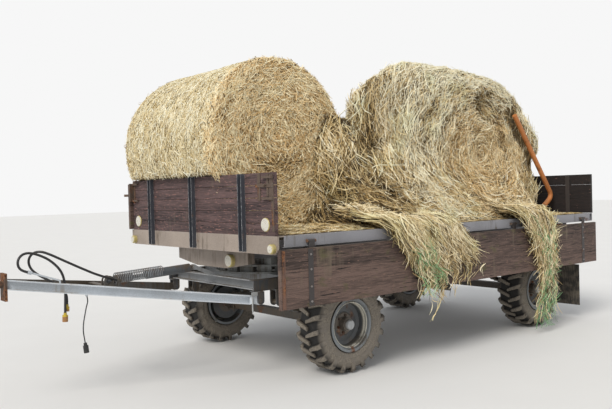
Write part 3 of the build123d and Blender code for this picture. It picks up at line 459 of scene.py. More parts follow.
@dataclass(frozen=True)
class Straw(Finish):
    """Loose strands, each in the tone its own mesh carries, greener in patches."""

    deep: Colour = (0.085, 0.055, 0.022)
    golden: Colour = (0.42, 0.295, 0.13)
    dry: Colour = (0.78, 0.65, 0.40)
    pale: Colour = (1.0, 0.93, 0.71)
    green: float = 0.0

    def fill(self, sheet: NodeSheet, shader: Node) -> None:
        """Adds this finish's own nodes.

        Args:
            sheet: The material's nodes.
            shader: The material's shader.
        """
        # The tone attribute carries each strand's own tone together with the light and shade painted into it
        # by its coat
        tone = sheet.add("ShaderNodeAttribute", attribute_name="tone").outputs["Fac"]
        stops = [(0.0, self.deep), (0.3, self.golden), (0.62, self.dry), (1.0, self.pale)]
        colour = sheet.ramp(tone, stops)
        streak = sheet.noise(sheet.place(), 95.0, 2.0)
        shade = sheet.ramp(streak, [(0.3, (0.84, 0.82, 0.76)), (0.7, (1.08, 1.08, 1.08))])
        mottled = sheet.mix(1.0, colour, shade, "MULTIPLY")
        patch = sheet.band(sheet.noise(sheet.place(), 3.2, 5.0), 0.48, 0.66)
        cast = sheet.mix(sheet.times(patch, self.green), (1.0, 1.0, 1.0), (0.78, 0.93, 0.70))
        rough = sheet.minus(0.8, sheet.times(tone, 0.2))
        self.coat(sheet, shader, sheet.mix(1.0, mottled, cast, "MULTIPLY"), rough)


@dataclass(frozen=True)
class PackedStraw(Finish):
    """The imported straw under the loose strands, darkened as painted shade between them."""

    # depth darkens the fibres as painted shade between the loose strands
    depth: float = 0.6
    deep: Colour = (0.06, 0.038, 0.014)
    golden: Colour = (0.33, 0.23, 0.095)
    dry: Colour = (0.66, 0.53, 0.30)

    def fill(self, sheet: NodeSheet, shader: Node) -> None:
        """Adds this finish's own nodes.

        Args:
            sheet: The material's nodes.
            shader: The material's shader.
        """
        fibres = self.group(sheet, "Fibres", Depth=self.depth)
        stops = [(0.1, self.deep), (0.45, self.golden), (0.95, self.dry)]
        self.coat(sheet, shader, sheet.ramp(fibres.outputs["Tone"], stops), 0.85)
        self.relief(sheet, shader, fibres.outputs["Height"], 0.02, 0.9)


@dataclass(frozen=True)
class MuddyTyre(Finish):
    """Worn rubber, with dried mud on what touches the ground, and left bare black between the lugs as painted
    shade.
    """

    rubber: Colour = (0.012, 0.011, 0.010)
    dust: Colour = (0.19, 0.165, 0.135)
    mud: Colour = (0.27, 0.235, 0.19)

    def fill(self, sheet: NodeSheet, shader: Node) -> None:
        """Adds this finish's own nodes.

        Args:
            sheet: The material's nodes.
            shader: The material's shader.
        """
        # The dust attribute is zero in the grooves, which leaves them black as painted shade
        dust = sheet.add("ShaderNodeAttribute", attribute_name="dust").outputs["Fac"]
        clods = sheet.noise(sheet.place(), 19.0, 8.0, 0.5)
        film = sheet.noise(sheet.place(), 5.0, 6.0)
        cover = sheet.plus(sheet.times(dust, 0.85), sheet.times(film, 0.4))
        dusty = sheet.mix(sheet.band(cover, 0.28, 0.85), self.rubber, self.dust)
        thick = sheet.plus(sheet.times(clods, 0.9), sheet.times(dust, 0.28))
        mask = sheet.band(thick, 0.58, 0.78)
        fleck = sheet.noise(sheet.place(), 90.0, 4.0)
        mud = sheet.mix(sheet.band(fleck, 0.35, 0.65), self.mud, tuple(0.6 * c for c in self.mud))
        rough = sheet.plus(0.68, sheet.times(mask, 0.24))
        self.coat(sheet, shader, sheet.mix(mask, dusty, mud), rough)
        relief = sheet.plus(sheet.times(mask, 0.7), sheet.times(fleck, 0.3))
        self.relief(sheet, shader, relief, 0.006, 0.8)


@dataclass(frozen=True)
class WheelPaint(Finish):
    """Blue-grey wheel paint: bright at the flange, dark in the dish, rusty round the hub."""

    centre: Point = (0.0, 0.0, 0.0)
    paint: Colour = (0.20, 0.215, 0.225)
    ring: Colour = (0.58, 0.55, 0.46)
    well: Colour = (0.10, 0.105, 0.108)
    hub: Colour = (0.155, 0.13, 0.105)
    cap: Colour = (0.42, 0.43, 0.43)

    def fill(self, sheet: NodeSheet, shader: Node) -> None:
        """Adds this finish's own nodes.

        Args:
            sheet: The material's nodes.
            shader: The material's shader.
        """
        where = sheet.place((1.0, 1.0, 1.0), tuple(-c for c in self.centre))
        flat = sheet.vector("MULTIPLY", where, (0.0, 1.0, 1.0))
        radius = sheet.add("ShaderNodeVectorMath", {0: flat}, operation="LENGTH").outputs["Value"]
        stops = [(0.0, self.cap), (0.15, self.cap), (0.17, self.hub), (0.335, self.hub), (0.37, self.well)]
        stops += [(0.655, self.well), (0.665, self.ring), (0.70, self.ring), (0.715, self.paint)]
        zones = sheet.ramp(sheet.times(radius, 4.0), stops)
        edge = self.group(sheet, "Edge wear", Amount=0.5)
        rubbed = sheet.mix(edge.outputs["Mask"], zones, (0.36, 0.35, 0.32))
        rust = self.group(sheet, "Rust", Colour=rubbed, Amount=0.34)
        soil = self.group(sheet, "Weather", Colour=rust.outputs["Colour"], Dirt=(0.10, 0.085, 0.065),
                          Scale=7.0)
        sheet.feed(soil.inputs["Amount"], 0.42)
        rough = sheet.plus(0.45, sheet.times(rust.outputs["Mask"], 0.35))
        self.coat(sheet, shader, soil.outputs["Colour"], rough)
        self.relief(sheet, shader, soil.outputs["Height"], 0.0015, 0.6)


@dataclass(frozen=True)
class Moulding(Finish):
    """Moulded plastic or rubber with grime, and bands of a second colour along one axis."""

    colour: Colour = (0.02, 0.02, 0.02)
    second: Colour = (0.02, 0.02, 0.02)
    bands: Outline = ()
    grime: Colour = (0.12, 0.10, 0.08)
    grime_amount: float = 0.3
    roughness: float = 0.5

    def fill(self, sheet: NodeSheet, shader: Node) -> None:
        """Adds this finish's own nodes.

        Args:
            sheet: The material's nodes.
            shader: The material's shader.
        """
        height = sheet.axis(2, sheet.place())
        colour: Any = self.colour
        for low, high in self.bands:
            inside = sheet.times(sheet.sum("GREATER_THAN", height, low), sheet.sum("LESS_THAN", height, high))
            colour = sheet.mix(inside, colour, self.second)
        soil = self.group(sheet, "Weather", Colour=colour, Dirt=self.grime, Amount=self.grime_amount,
                          Scale=14.0)
        rough = sheet.plus(self.roughness, sheet.times(soil.outputs["Mask"], 0.3), clamp=True)
        self.coat(sheet, shader, soil.outputs["Colour"], rough)
        self.relief(sheet, shader, soil.outputs["Height"], 0.0006, 0.4)


@dataclass(frozen=True)
class Lens(Finish):
    """Lamps and reflectors: a speckled face inside a yellowed rim, and red at the wagon's rear."""

    face: Colour = (0.66, 0.63, 0.55)
    rim: Colour = (0.52, 0.43, 0.17)
    rear: Colour = (0.30, 0.025, 0.02)

    def fill(self, sheet: NodeSheet, shader: Node) -> None:
        """Adds this finish's own nodes.

        Args:
            sheet: The material's nodes.
            shader: The material's shader.
        """
        facing = sheet.axis(1, sheet.normal())
        rearward = sheet.axis(1, sheet.place())
        cells = sheet.add("ShaderNodeTexVoronoi",
                          {"Vector": sheet.place(), "Scale": 150.0}).outputs["Distance"]
        speck = sheet.band(sheet.noise(sheet.place(), 75.0, 3.0), 0.60, 0.68)
        flat = sheet.sum("LESS_THAN", facing, -0.93)
        face = sheet.mix(sheet.times(speck, 0.7), self.face, (0.26, 0.17, 0.09))
        colour = sheet.mix(sheet.sum("GREATER_THAN", rearward, 0.0), sheet.mix(flat, self.rim, face),
                           self.rear)
        soil = self.group(sheet, "Weather", Colour=colour, Dirt=(0.25, 0.2, 0.14), Amount=0.3, Scale=12.0)
        rough = sheet.plus(0.28, sheet.times(soil.outputs["Mask"], 0.4))
        self.coat(sheet, shader, soil.outputs["Colour"], rough)
        self.relief(sheet, shader, cells, 0.0012, 0.35)


SIDE_STRAW = Straw("bale_side_strands", (0.20, 0.13, 0.05), (0.62, 0.47, 0.22), (0.90, 0.78, 0.50),
                   (1.0, 0.97, 0.80))
END_STRAW = Straw("bale_end_strands", (0.09, 0.052, 0.016), (0.56, 0.36, 0.14), (0.94, 0.70, 0.37),
                  (1.0, 0.90, 0.63))
HEAP_STRAW = Straw("heap_strands", (0.05, 0.031, 0.012), (0.46, 0.31, 0.12), (0.92, 0.74, 0.42),
                   (1.0, 0.95, 0.75), 0.2)
DRAPE_STRAW = Straw("drape_strands", (0.045, 0.03, 0.012), (0.42, 0.29, 0.12), (0.78, 0.62, 0.34),
                    (0.98, 0.87, 0.62), 0.3)
NET_GREEN = Straw("green_net_threads", (0.05, 0.14, 0.05), (0.15, 0.35, 0.15), (0.33, 0.55, 0.28),
                  (0.60, 0.75, 0.48))
IRON = PaintedSteel("rusty_fittings", (0.11, 0.075, 0.055), (0.3, 0.26, 0.22), rust_amount=0.62,
                    roughness=0.75, scale=9.0)


def add_object(name: str, data: bpy.types.ID) -> Piece:
    """Adds an object to the scene.

    Args:
        name: Its name.
        data: What it shows.

    Returns:
        The object.
    """
    piece = bpy.data.objects.new(name, data)
    bpy.context.collection.objects.link(piece)
    return piece


def read_points(mesh: bpy.types.Mesh, kind: str = "co") -> Array:
    """Reads a mesh's points, or its normals, one to a row.

    Args:
        mesh: The mesh.
        kind: What is read, as Blender names it.

    Returns:
        A row of three for each point.
    """
    values = np.empty(len(mesh.vertices) * 3)
    mesh.vertices.foreach_get(kind, values)
    return values.reshape(-1, 3)


def move_points(mesh: bpy.types.Mesh, spots: Array) -> None:
    """Moves a mesh's points."""
    mesh.vertices.foreach_set("co", spots.ravel())
    mesh.update()


class Bench:
    """Blender's own modelling tools, used on one piece at a time."""

    @staticmethod
    def take(piece: Piece) -> None:
        """Selects one piece alone and makes it active.

        Args:
            piece: The piece.
        """
        bpy.ops.object.select_all(action="DESELECT")
        piece.select_set(True)
        bpy.context.view_layer.objects.active = piece

    @classmethod
    def begin(cls, name: str) -> Piece:
        """Names the new primitive and puts its place into its mesh.

        Args:
            name: Its name.

        Returns:
            The piece.
        """
        piece = bpy.context.object
        piece.name = name
        piece.data.name = name
        cls.take(piece)
        bpy.ops.object.transform_apply(location=True, rotation=True, scale=True)
        return piece

    @classmethod
    def open(cls, piece: Piece) -> None:
        """Opens a piece in edit mode, with all of it selected.

        Args:
            piece: The piece.
        """
        cls.take(piece)
        bpy.ops.object.mode_set(mode="EDIT")
        bpy.ops.mesh.select_mode(type="VERT")
        bpy.ops.mesh.select_all(action="SELECT")

    @staticmethod
    def close() -> None:
        """Leaves edit mode."""
        bpy.ops.object.mode_set(mode="OBJECT")

    @classmethod
    def block(cls, name: str, low: Point, high: Point, soften: float = 0.002) -> Piece:
        """Cuts a block with softened edges.

        Args:
            name: The piece's name.
            low: Its lowest corner.
            high: Its highest corner.
            soften: The width of its bevels.

        Returns:
            The piece.
        """
        middle = [(a + b) / 2 for a, b in zip(low, high)]
        bpy.ops.mesh.primitive_cube_add(size=1.0, location=middle, scale=[b - a for a, b in zip(low, high)])
        piece = cls.begin(name)
        cls.open(piece)
        bpy.ops.mesh.bevel(offset=soften, segments=2, affect="EDGES")
        cls.close()
        return piece

    @classmethod
    def turned(cls, name: str, outline: Sequence[tuple[float, float]], foot: Point, way: Point,
               sides: int = 48, ring: bool = False) -> Piece:
        """Turns an outline about a line, ring by ring.

        Args:
            name: The piece's name.
            outline: A radius and a distance along the line for each ring.
            foot: Where the line starts.
            way: Which way the line goes.
            sides: How many sides a ring has.
            ring: Whether the last ring joins the first, as on a tyre.

        Returns:
            The piece.
        """
        line = Vector(way).normalized()
        start = Vector(foot) + line * outline[0][1]
        turn = line.to_track_quat("Z", "Y").to_euler()
        fill = "NOTHING" if ring else "NGON"
        bpy.ops.mesh.primitive_circle_add(vertices=sides, radius=outline[0][0], fill_type=fill,
                                          location=start, rotation=turn)
        piece = cls.begin(name)
        cls.open(piece)
        for (radius, along), (next_radius, next_along) in zip(outline, outline[1:]):
            bpy.ops.mesh.extrude_region_move(TRANSFORM_OT_translate={"value": line * (next_along - along)})
            size = next_radius / radius
            centre = Vector(foot) + line * next_along
            bpy.ops.transform.resize(value=(size, size, size), center_override=centre)
        if ring:
            bpy.ops.mesh.select_all(action="DESELECT")
            bpy.ops.mesh.select_non_manifold()
            bpy.ops.mesh.bridge_edge_loops()
        bpy.ops.mesh.select_all(action="SELECT")
        bpy.ops.mesh.normals_make_consistent(inside=False)
        cls.close()
        cls.soften(piece)
        return piece

    @classmethod
    def soften(cls, piece: Piece, angle: float = 32.0) -> None:
        """Shades a piece smooth up to that angle, in degrees."""
        cls.take(piece)
        bpy.ops.object.shade_smooth_by_angle(angle=math.radians(angle))

    @classmethod
    def finish(cls, piece: Piece, kind: str, **settings: Any) -> None:
        """Adds a modifier with its settings and applies it.

        Args:
            piece: The piece.
            kind: The modifier, as Blender names it.
            settings: The modifier's own settings.
        """
        cls.take(piece)
        modifier = piece.modifiers.new(kind.title(), kind)
        for name, value in settings.items():
            setattr(modifier, name, value)
        bpy.ops.object.modifier_apply(modifier=modifier.name)

    @classmethod
    def join(cls, name: str, pieces: Sequence[Piece]) -> Piece:
        """Joins pieces into one.

        Args:
            name: Its name.
            pieces: The pieces, of which the first is kept.

        Returns:
            The joined piece.
        """
        cls.take(pieces[0])
        for piece in pieces[1:]:
            piece.select_set(True)
        bpy.ops.object.join()
        pieces[0].name = name
        return pieces[0]

    @classmethod
    def spread(cls, name: str, pattern: Piece, places: Sequence[Matrix]) -> Piece:
        """Copies a pattern to each place, each copy with its own mesh, and joins the copies.

        Args:
            name: The joined piece's name.
            pattern: What is copied, which isn't kept.
            places: Where the copies go.

        Returns:
            The joined piece.
        """
        copies = []
        for place in places:
            copy = add_object(name, pattern.data.copy())
            copy.data.transform(place)
            if place.determinant() < 0:
                copy.data.flip_normals()
            copies.append(copy)
        bpy.data.objects.remove(pattern)
        return cls.join(name, copies)

    @classmethod
    def cast(cls, node: str, name: str) -> Piece:
        """Copies a CAD node's mesh and merges its loose triangles.

        Args:
            node: The CAD node.
            name: Its name.

        Returns:
            The copy.
        """
        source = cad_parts[node]
        piece = add_object(name, source.data.copy())
        cls.open(piece)
        bpy.ops.mesh.remove_doubles(threshold=0.0002)
        cls.close()
        return piece


def clothe(piece: Piece, finish: Finish) -> None:
    """Gives a piece its own material alone."""
    piece.data.materials.clear()
    piece.data.materials.append(finish.make())


def settle(piece: Piece, body: str, finish: Finish, replaces: Sequence[str] = ()) -> None:
    """Gives a finished piece its body and its material, and hides the CAD nodes that it stands for.

    Args:
        piece: The piece.
        body: The body that it rides on.
        finish: Its finish.
        replaces: The CAD nodes that it replaces, which are hidden.
    """
    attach(piece, body)
    clothe(piece, finish)
    if replaces:
        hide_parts(*replaces)
    LOG.info("%s rides on %s", piece.name, body)


@dataclass(frozen=True)
class PhotoCamera:
    """The camera, where the photographer stood."""

    place: Point = (4.935, -4.2182, 1.393)
    sight: Point = (-0.76806, 0.64016, -0.01634)
    up: Point = (0.00433, 0.03070, 0.99952)
    lens: float = 41.70

    def set_up(self) -> None:
        """Adds the camera and makes it the scene's own."""
        data = bpy.data.cameras.new("photo_camera")
        data.lens = self.lens
        camera = add_object("photo_camera", data)
        back = -Vector(self.sight).normalized()
        right = Vector(self.up).cross(back).normalized()
        upward = back.cross(right)
        turn = Matrix((right, upward, back)).transposed().to_4x4()
        camera.matrix_world = Matrix.Translation(self.place) @ turn
        bpy.context.scene.camera = camera


@dataclass(frozen=True)
class Hose:
    """One free hose or cable of the drawbar, along its route."""

    name: str
    route: tuple[Point, ...]
    diameter: float

    def run(self, finish: Finish) -> Piece:
        """Lays the hose along its route as one smooth line.

        Args:
            finish: Its rubber.

        Returns:
            The hose.
        """
        curve = bpy.data.curves.new(self.name, "CURVE")
        curve.dimensions = "3D"
        spline = curve.splines.new("NURBS")
        spline.points.add(len(self.route) - 1)
        for point, place in zip(spline.points, self.route):
            point.co = (*place, 1.0)
        spline.order_u = 3
        spline.use_endpoint_u = True
        spline.resolution_u = 10
        curve.bevel_depth = self.diameter / 2
        curve.bevel_resolution = 4
        curve.use_fill_caps = True
        hose = add_object(self.name, curve)
        settle(hose, "drawbar", finish)
        return hose


@dataclass(frozen=True)
class HoseSet:
    """The two brake hoses and the lighting cable."""

    long_route: tuple[Point, ...] = (
        (0.12, -2.0025, 0.799), (0.122, -2.1245, 0.838), (0.118, -2.2595, 0.905), (0.12, -2.3845, 0.97),
        (0.112, -2.4795, 1.022), (0.084, -2.5365, 1.046), (0.034, -2.5745, 1.03), (-0.01, -2.5865, 0.978),
        (-0.024, -2.5645, 0.918), (0.0, -2.5225, 0.876), (0.04, -2.4795, 0.845), (0.066, -2.4345, 0.818),
        (0.084, -2.3915, 0.78), (0.091, -2.3665, 0.736), (0.092, -2.3615, 0.7), (0.092, -2.3635, 0.664))
    short_route: tuple[Point, ...] = (
        (0.141, -2.6405, 0.916), (0.142, -2.6785, 0.928), (0.142, -2.7025, 0.961), (0.139, -2.7005, 1.001),
        (0.131, -2.6745, 1.031), (0.119, -2.6365, 1.042), (0.106, -2.5945, 1.036), (0.096, -2.5445, 1.019),
        (0.104, -2.4905, 0.99), (0.115, -2.4465, 0.95), (0.121, -2.4105, 0.905), (0.122, -2.3905, 0.85),
        (0.121, -2.3835, 0.79), (0.12, -2.3835, 0.73), (0.12, -2.3865, 0.67), (0.12, -2.3885, 0.612))
    cable_route: tuple[Point, ...] = (
        (0.214, -2.2695, 0.722), (0.216, -2.2625, 0.690), (0.213, -2.2745, 0.652), (0.216, -2.2885, 0.596),
        (0.214, -2.3005, 0.536), (0.217, -2.3045, 0.478), (0.214, -2.2955, 0.430), (0.215, -2.2925, 0.402))

    def build(self) -> None:
        """Lays all three in scuffed rubber."""
        rubber = Moulding("hose_rubber_scuffed", (0.016, 0.016, 0.017), grime_amount=0.22, roughness=0.42)
        for name, node, end_node, length, diameter, far_end, stiffness, lay, route in (
            ("brake_hose_long", "air_hose_long", "hose_couplings", 1.155, 0.017, "fitting", "limp", "loose",
             self.long_route),
            ("brake_hose_short", "air_hose_short", "hose_couplings", 0.771, 0.017, "fitting", "limp", "loose",
             self.short_route),
            ("lighting_cable", "light_cable", "cable_plug", 0.326, 0.008, "plug", "medium", "hanging",
             self.cable_route),
        ):
            hose = Hose(name, route, diameter).run(rubber)
            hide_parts(node)


class Streaks:
    """Smooth random numbers over a plane, drawn out one way, the same for the same seed."""

    cells = 128

    def __init__(self, seed: int) -> None:
        """Fills the table that the numbers come from."""
        self.table = np.random.default_rng(seed).random((self.cells, self.cells))

    def at(self, across: Array, along: Array) -> Array:
        """Reads the numbers at many places.

        Args:
            across: Each place across the streaks, in streak widths.
            along: Each place along them, in streak lengths.

        Returns:
            Numbers from -1 to 1.
        """
        u, v = np.floor(across).astype(int), np.floor(along).astype(int)
        fu, fv = across - u, along - v
        fu, fv = fu * fu * (3 - 2 * fu), fv * fv * (3 - 2 * fv)
        left, right = u % self.cells, (u + 1) % self.cells
        near, far = v % self.cells, (v + 1) % self.cells
        low = self.table[left, near] * (1 - fu) + self.table[right, near] * fu
        high = self.table[left, far] * (1 - fu) + self.table[right, far] * fu
        return 2 * (low * (1 - fv) + high * fv) - 1


def unit(ways: Array) -> Array:
    """Gives each direction the length 1."""
    return ways / np.maximum(np.linalg.norm(ways, axis=-1, keepdims=True), 1e-6)


def ease(value: Array, low: float, high: float) -> Array:
    """Rises smoothly from 0 to 1 between two values, or falls where the first is the higher."""
    share = np.clip((value - low) / (high - low), 0, 1)
    return share * share * (3 - 2 * share)


@dataclass
class StrawCoat:
    """Loose strands that lie on a surface, all in one mesh."""

    name: str
    count: int
    length: tuple[float, float]
    width: float
    lay: Lay
    tone: Share
    density: Share
    steps: int = 2
    spread: float = 0.35
    stray: float = 0.15
    variety: float = 0.2
    shaded: float = 0.0
    lift: float = 0.012
    within: float = 9.0
    seed: int = 1

    def grow(self, ground: Piece) -> Piece:
        """Scatters the strands over a mesh, each bent along it.

        Args:
            ground: The mesh that they lie on.

        Returns:
            The strands' mesh.
        """
        chance = np.random.default_rng(self.seed)
        mesh = ground.data
        mesh.calc_loop_triangles()
        spots = read_points(mesh)
        corners = np.empty(len(mesh.loop_triangles) * 3, np.int32)
        mesh.loop_triangles.foreach_get("vertices", corners)
        corners = corners.reshape(-1, 3)
        a, b, c = (spots[corners[:, k]] for k in range(3))
        cross = np.cross(b - a, c - a)
        area = np.linalg.norm(cross, axis=1)
        normal = cross / np.maximum(area, 1e-12)[:, None]
        weight = area * np.maximum(self.density((a + b + c) / 3, normal), 0)
        pick = chance.choice(len(corners), self.count, p=weight / weight.sum())
        u, v = chance.random((2, self.count))
        over = u + v > 1
        u[over], v[over] = 1 - u[over], 1 - v[over]
        root = a[pick] + u[:, None] * (b - a)[pick] + v[:, None] * (c - a)[pick]
        facing = normal[pick]
        way = unit(self.lay(root, facing))
        angle = chance.normal(0, self.spread, self.count)
        astray = chance.random(self.count) < self.stray
        angle = np.where(astray, chance.uniform(-1.6, 1.6, self.count), angle)
        side = np.cross(facing, way)
        way = way * np.cos(angle)[:, None] + side * np.sin(angle)[:, None]
        tree = BVHTree.FromPolygons(spots.tolist(), corners.tolist())
        return self.weave(root, facing, way, tree, chance)

    def weave(self, root: Array, facing: Array, way: Array, tree: BVHTree,
              chance: np.random.Generator) -> Piece:
        """Walks each strand along the surface and makes the ribbons.

        Args:
            root: Where the strands' middles are.
            facing: The surface's normals there.
            way: The strands' directions.
            tree: The surface, for finding its nearest point.
            chance: The source of random numbers.

        Returns:
            The strands' mesh.
        """
        length = chance.uniform(*self.length, self.count)
        bend = chance.normal(0, 0.9, self.count)
        loft = self.lift * chance.random(self.count) ** 2 * (1 - 0.65 * np.clip(facing[:, 2], 0, 1))
        lines = []
        normals = []
        side = np.cross(facing, way)
        for step in range(self.steps + 1):
            along = step / self.steps - 0.5
            sway = side * (bend * length * along * along)[:, None]
            reach = root + way * (length * along)[:, None] + sway
            near = [tree.find_nearest(p) for p in reach.tolist()]
            up = np.array([n[1][:] for n in near])
            height = 0.001 + loft * (0.4 + (2 * along) ** 2 * 1.2)
            place = np.array([n[0][:] for n in near]) + up * height[:, None]
            place[:, 0] = np.minimum(place[:, 0], self.within)
            lines.append(place)
            normals.append(up)
        # Strands lifted off the surface are painted lighter and low-lying ones darker, and the shaded share
        # is painted dark: painted light and shade between strands
        tone = self.tone(root, facing) + 6.0 * (loft - 0.33 * self.lift)
        tone -= 0.42 * (chance.random(self.count) < self.shaded)
        return StrawCoat.ribbons(self.name, np.stack(lines, 1), np.stack(normals, 1), self.width, tone,
                                 self.variety, chance)

    @staticmethod
    def ribbons(name: str, lines: Array, normals: Array, width: float, tone: Array, variety: float,
                chance: np.random.Generator) -> Piece:
        """Makes one mesh of flat ribbons along many lines.

        Args:
            name: The piece's name.
            lines: The points of each line.
            normals: The side that each ribbon turns up at each point.
            width: The ribbons' middle width.
            tone: Each ribbon's middle tone.
            variety: How far the tones of neighbours differ.
            chance: The source of random numbers.

        Returns:
            The piece.
        """
        count, points = lines.shape[:2]
        tangent = np.gradient(lines, axis=1)
        across = unit(np.cross(tangent, normals))
        roll = chance.normal(0, 0.6, (count, 1, 1))
        across = across * np.cos(roll) + normals * np.sin(roll)
        half = width * chance.uniform(0.25, 0.8, (count, 1, 1)) * np.ones((1, points, 1))
        half[:, 0] *= 0.5
        half[:, -1] *= 0.35
        both = np.stack([lines - across * half, lines + across * half], 2).reshape(-1, 3)
        first = (np.arange(count) * points * 2)[:, None] + np.arange(points - 1)[None, :] * 2
        quads = np.stack([first, first + 1, first + 3, first + 2], 2).reshape(-1)
        mesh = bpy.data.meshes.new(name)
        mesh.vertices.add(len(both))
        mesh.vertices.foreach_set("co", both.ravel().astype(np.float32))
        mesh.loops.add(len(quads))
        mesh.loops.foreach_set("vertex_index", quads.astype(np.int32))
        faces = len(quads) // 4
        mesh.polygons.add(faces)
        mesh.polygons.foreach_set("loop_start", np.arange(faces, dtype=np.int32) * 4)
        mesh.update(calc_edges=True)
        own = np.clip(tone + chance.normal(0, variety, count), 0, 1)
        each = mesh.attributes.new("tone", "FLOAT", "POINT")
        each.data.foreach_set("value", np.repeat(own, points * 2).astype(np.float32))
        return add_object(name, mesh)


def clods(name: str, size: float) -> bpy.types.Texture:
    """Makes a clouded pattern with clods of that size.

    Args:
        name: Its name.
        size: How wide the clods are.

    Returns:
        The pattern.
    """
    pattern = bpy.data.textures.new(name, "CLOUDS")
    pattern.noise_scale = size
    pattern.noise_depth = 2
    return pattern


def lumpy(piece: Piece, cell: float, depth: float, size: float, finer: float) -> None:
    """Remeshes a packed load and gives its face the lumps of pressed straw.

    Args:
        piece: The load.
        cell: The size of the new mesh's cells.
        depth: How far the lumps stand out or in.
        size: How wide the lumps are.
        finer: How far the finer lumps stand out.
    """
    Bench.finish(piece, "REMESH", mode="VOXEL", voxel_size=cell, use_smooth_shade=True)
    Bench.finish(piece, "SMOOTH", factor=0.5, iterations=3)
    for wide, deep in ((size, depth), (size * 0.27, finer)):
        Bench.finish(piece, "DISPLACE", texture=clods("lumps", wide), strength=deep, mid_level=0.62,
                     texture_coords="LOCAL")


def furrow(piece: Piece, depth: Share, floor: float) -> None:
    """Presses locks and hollows into a load's face, and keeps it on the deck.

    Args:
        piece: The load.
        depth: How far the face moves out at each spot.
        floor: The lowest height that the load reaches.
    """
    spots, normals = read_points(piece.data), read_points(piece.data, "normal")
    spots = spots + normals * depth(spots, normals)[:, None]
    spots[:, 2] = np.maximum(spots[:, 2], floor)
    move_points(piece.data, spots)


@dataclass
class RoundBale:
    """The front bale, lying across the deck."""

    node: str = "hay_bale_front"
    side_strands: int = 29000
    end_strands: int = 18000
    swirl: Point = (0.0, -0.755, 1.885)
    board_back: float = -1.235
    board_top: float = 1.550
    # The packed core under the strands is darkened as painted shade
    packed: PackedStraw = PackedStraw("bale_packed_straw_shade", depth=0.45)

    def build(self) -> None:
        """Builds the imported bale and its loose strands."""
        low, high = (Vector(c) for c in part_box(self.node))
        core = Bench.cast(self.node, "front_bale")
        lumpy(core, 0.022, 0.018, 0.2, 0.012)
        for vertex in core.data.vertices:
            if vertex.co.y < self.board_back and self.board_top - 0.1 < vertex.co.z < self.board_top:
                vertex.co.z = self.board_top
        settle(core, "wagon", self.packed, [self.node])
        centre = (low + high) / 2
        self.axis = np.array([0.0, centre.y, centre.z])
        self.radius = (high.z - low.z) / 2
        self.coarse, self.fine = Streaks(31), Streaks(32)
        side = StrawCoat("front_bale_side_strands", self.side_strands, (0.05, 0.14), 0.006, self.wound,
                         self.side_tone, self.side_share, spread=0.5, stray=0.3, variety=0.24,
                         shaded=0.05, lift=0.012, seed=3)
        end = StrawCoat("front_bale_end_strands", self.end_strands, (0.07, 0.22), 0.0064, self.wound,
                        self.end_tone, self.end_share, steps=3, spread=0.34, stray=0.14, variety=0.3,
                        shaded=0.22, lift=0.028, seed=4)
        settle(side.grow(core), "wagon", SIDE_STRAW)
        settle(end.grow(core), "wagon", END_STRAW)

    def side_share(self, spots: Array, normals: Array) -> Array:
        """Puts the side's strands between the ends and clear of the headboard's front."""
        clear = (spots[:, 1] > self.board_back + 0.015) | (spots[:, 2] > self.board_top + 0.015)
        return (np.abs(normals[:, 0]) < 0.75) * (0.3 + 0.7 * (normals[:, 1] < 0.35)) * clear

    def end_share(self, spots: Array, normals: Array) -> Array:
        """Puts the end's strands on the near end, and a few on the far end."""
        return np.where(normals[:, 0] > 0.45, 1.0, 0.10 * (normals[:, 0] < -0.6))

    def out(self, spots: Array, normals: Array) -> Array:
        """Gives the way from the winding's middle, which lies high on the bale's end.

        Args:
            spots: Places on the load.
            normals: The load's normals there.

        Returns:
            A direction for each place.
        """
        out = spots - self.axis
        out[:, 0] = 0
        size = np.linalg.norm(out, axis=1, keepdims=True) / self.radius
        shift = (np.array(self.swirl) - self.axis) * np.clip(1 - size, 0, 1)
        return out - shift * (np.abs(normals[:, :1]) > 0.45)

    def wound(self, spots: Array, normals: Array) -> Array:
        """Gives the way the straw is wound round the bale at each spot."""
        return np.cross(np.array([1.0, 0.0, 0.0]), self.out(spots, normals))

    def side_tone(self, spots: Array, normals: Array) -> Array:
        """Palest on top and more golden towards the deck, as painted light from above; also more golden
        towards the far end.

        Args:
            spots: Places on the load.
            normals: The load's normals there.

        Returns:
            A tone for each place.
        """
        out = self.out(spots, normals)
        turn = np.arctan2(out[:, 1], out[:, 2]) * self.radius
        speck = 0.12 * self.fine.at(spots[:, 0] / 0.014, turn / 0.05)
        # The normal's upward share is painted light from above
        return 0.70 + 1.5 * speck + 0.10 * normals[:, 2] - 0.16 * ease(spots[:, 0], -0.7, -1.05)

    def end_tone(self, spots: Array, normals: Array) -> Array:
        """Golden in rings, with painted shade in a hollow low in the middle, and darker towards the bottom.

        Args:
            spots: Places on the load.
            normals: The load's normals there.

        Returns:
            A tone for each place.
        """
        out = self.out(spots, normals)
        reach = np.linalg.norm(out, axis=1)
        turn = np.arctan2(out[:, 1], out[:, 2]) / (2 * math.pi)
        rings = 0.32 * self.fine.at(reach / 0.017, turn * 44)
        rings += 0.18 * self.coarse.at(reach / 0.055, turn * 15)
        # A dark patch painted as the shade in a hollow of the bale's end
        hollow_shade = np.linalg.norm((spots - np.array([0.4, -0.70, 1.66]))[:, 1:], axis=1)
        # Darker towards the bottom
        low = ease(spots[:, 2], 1.75, 1.15)
        return 0.82 + 1.35 * rings - 0.35 * ease(hollow_shade, 0.24, 0.04) - 0.16 * low


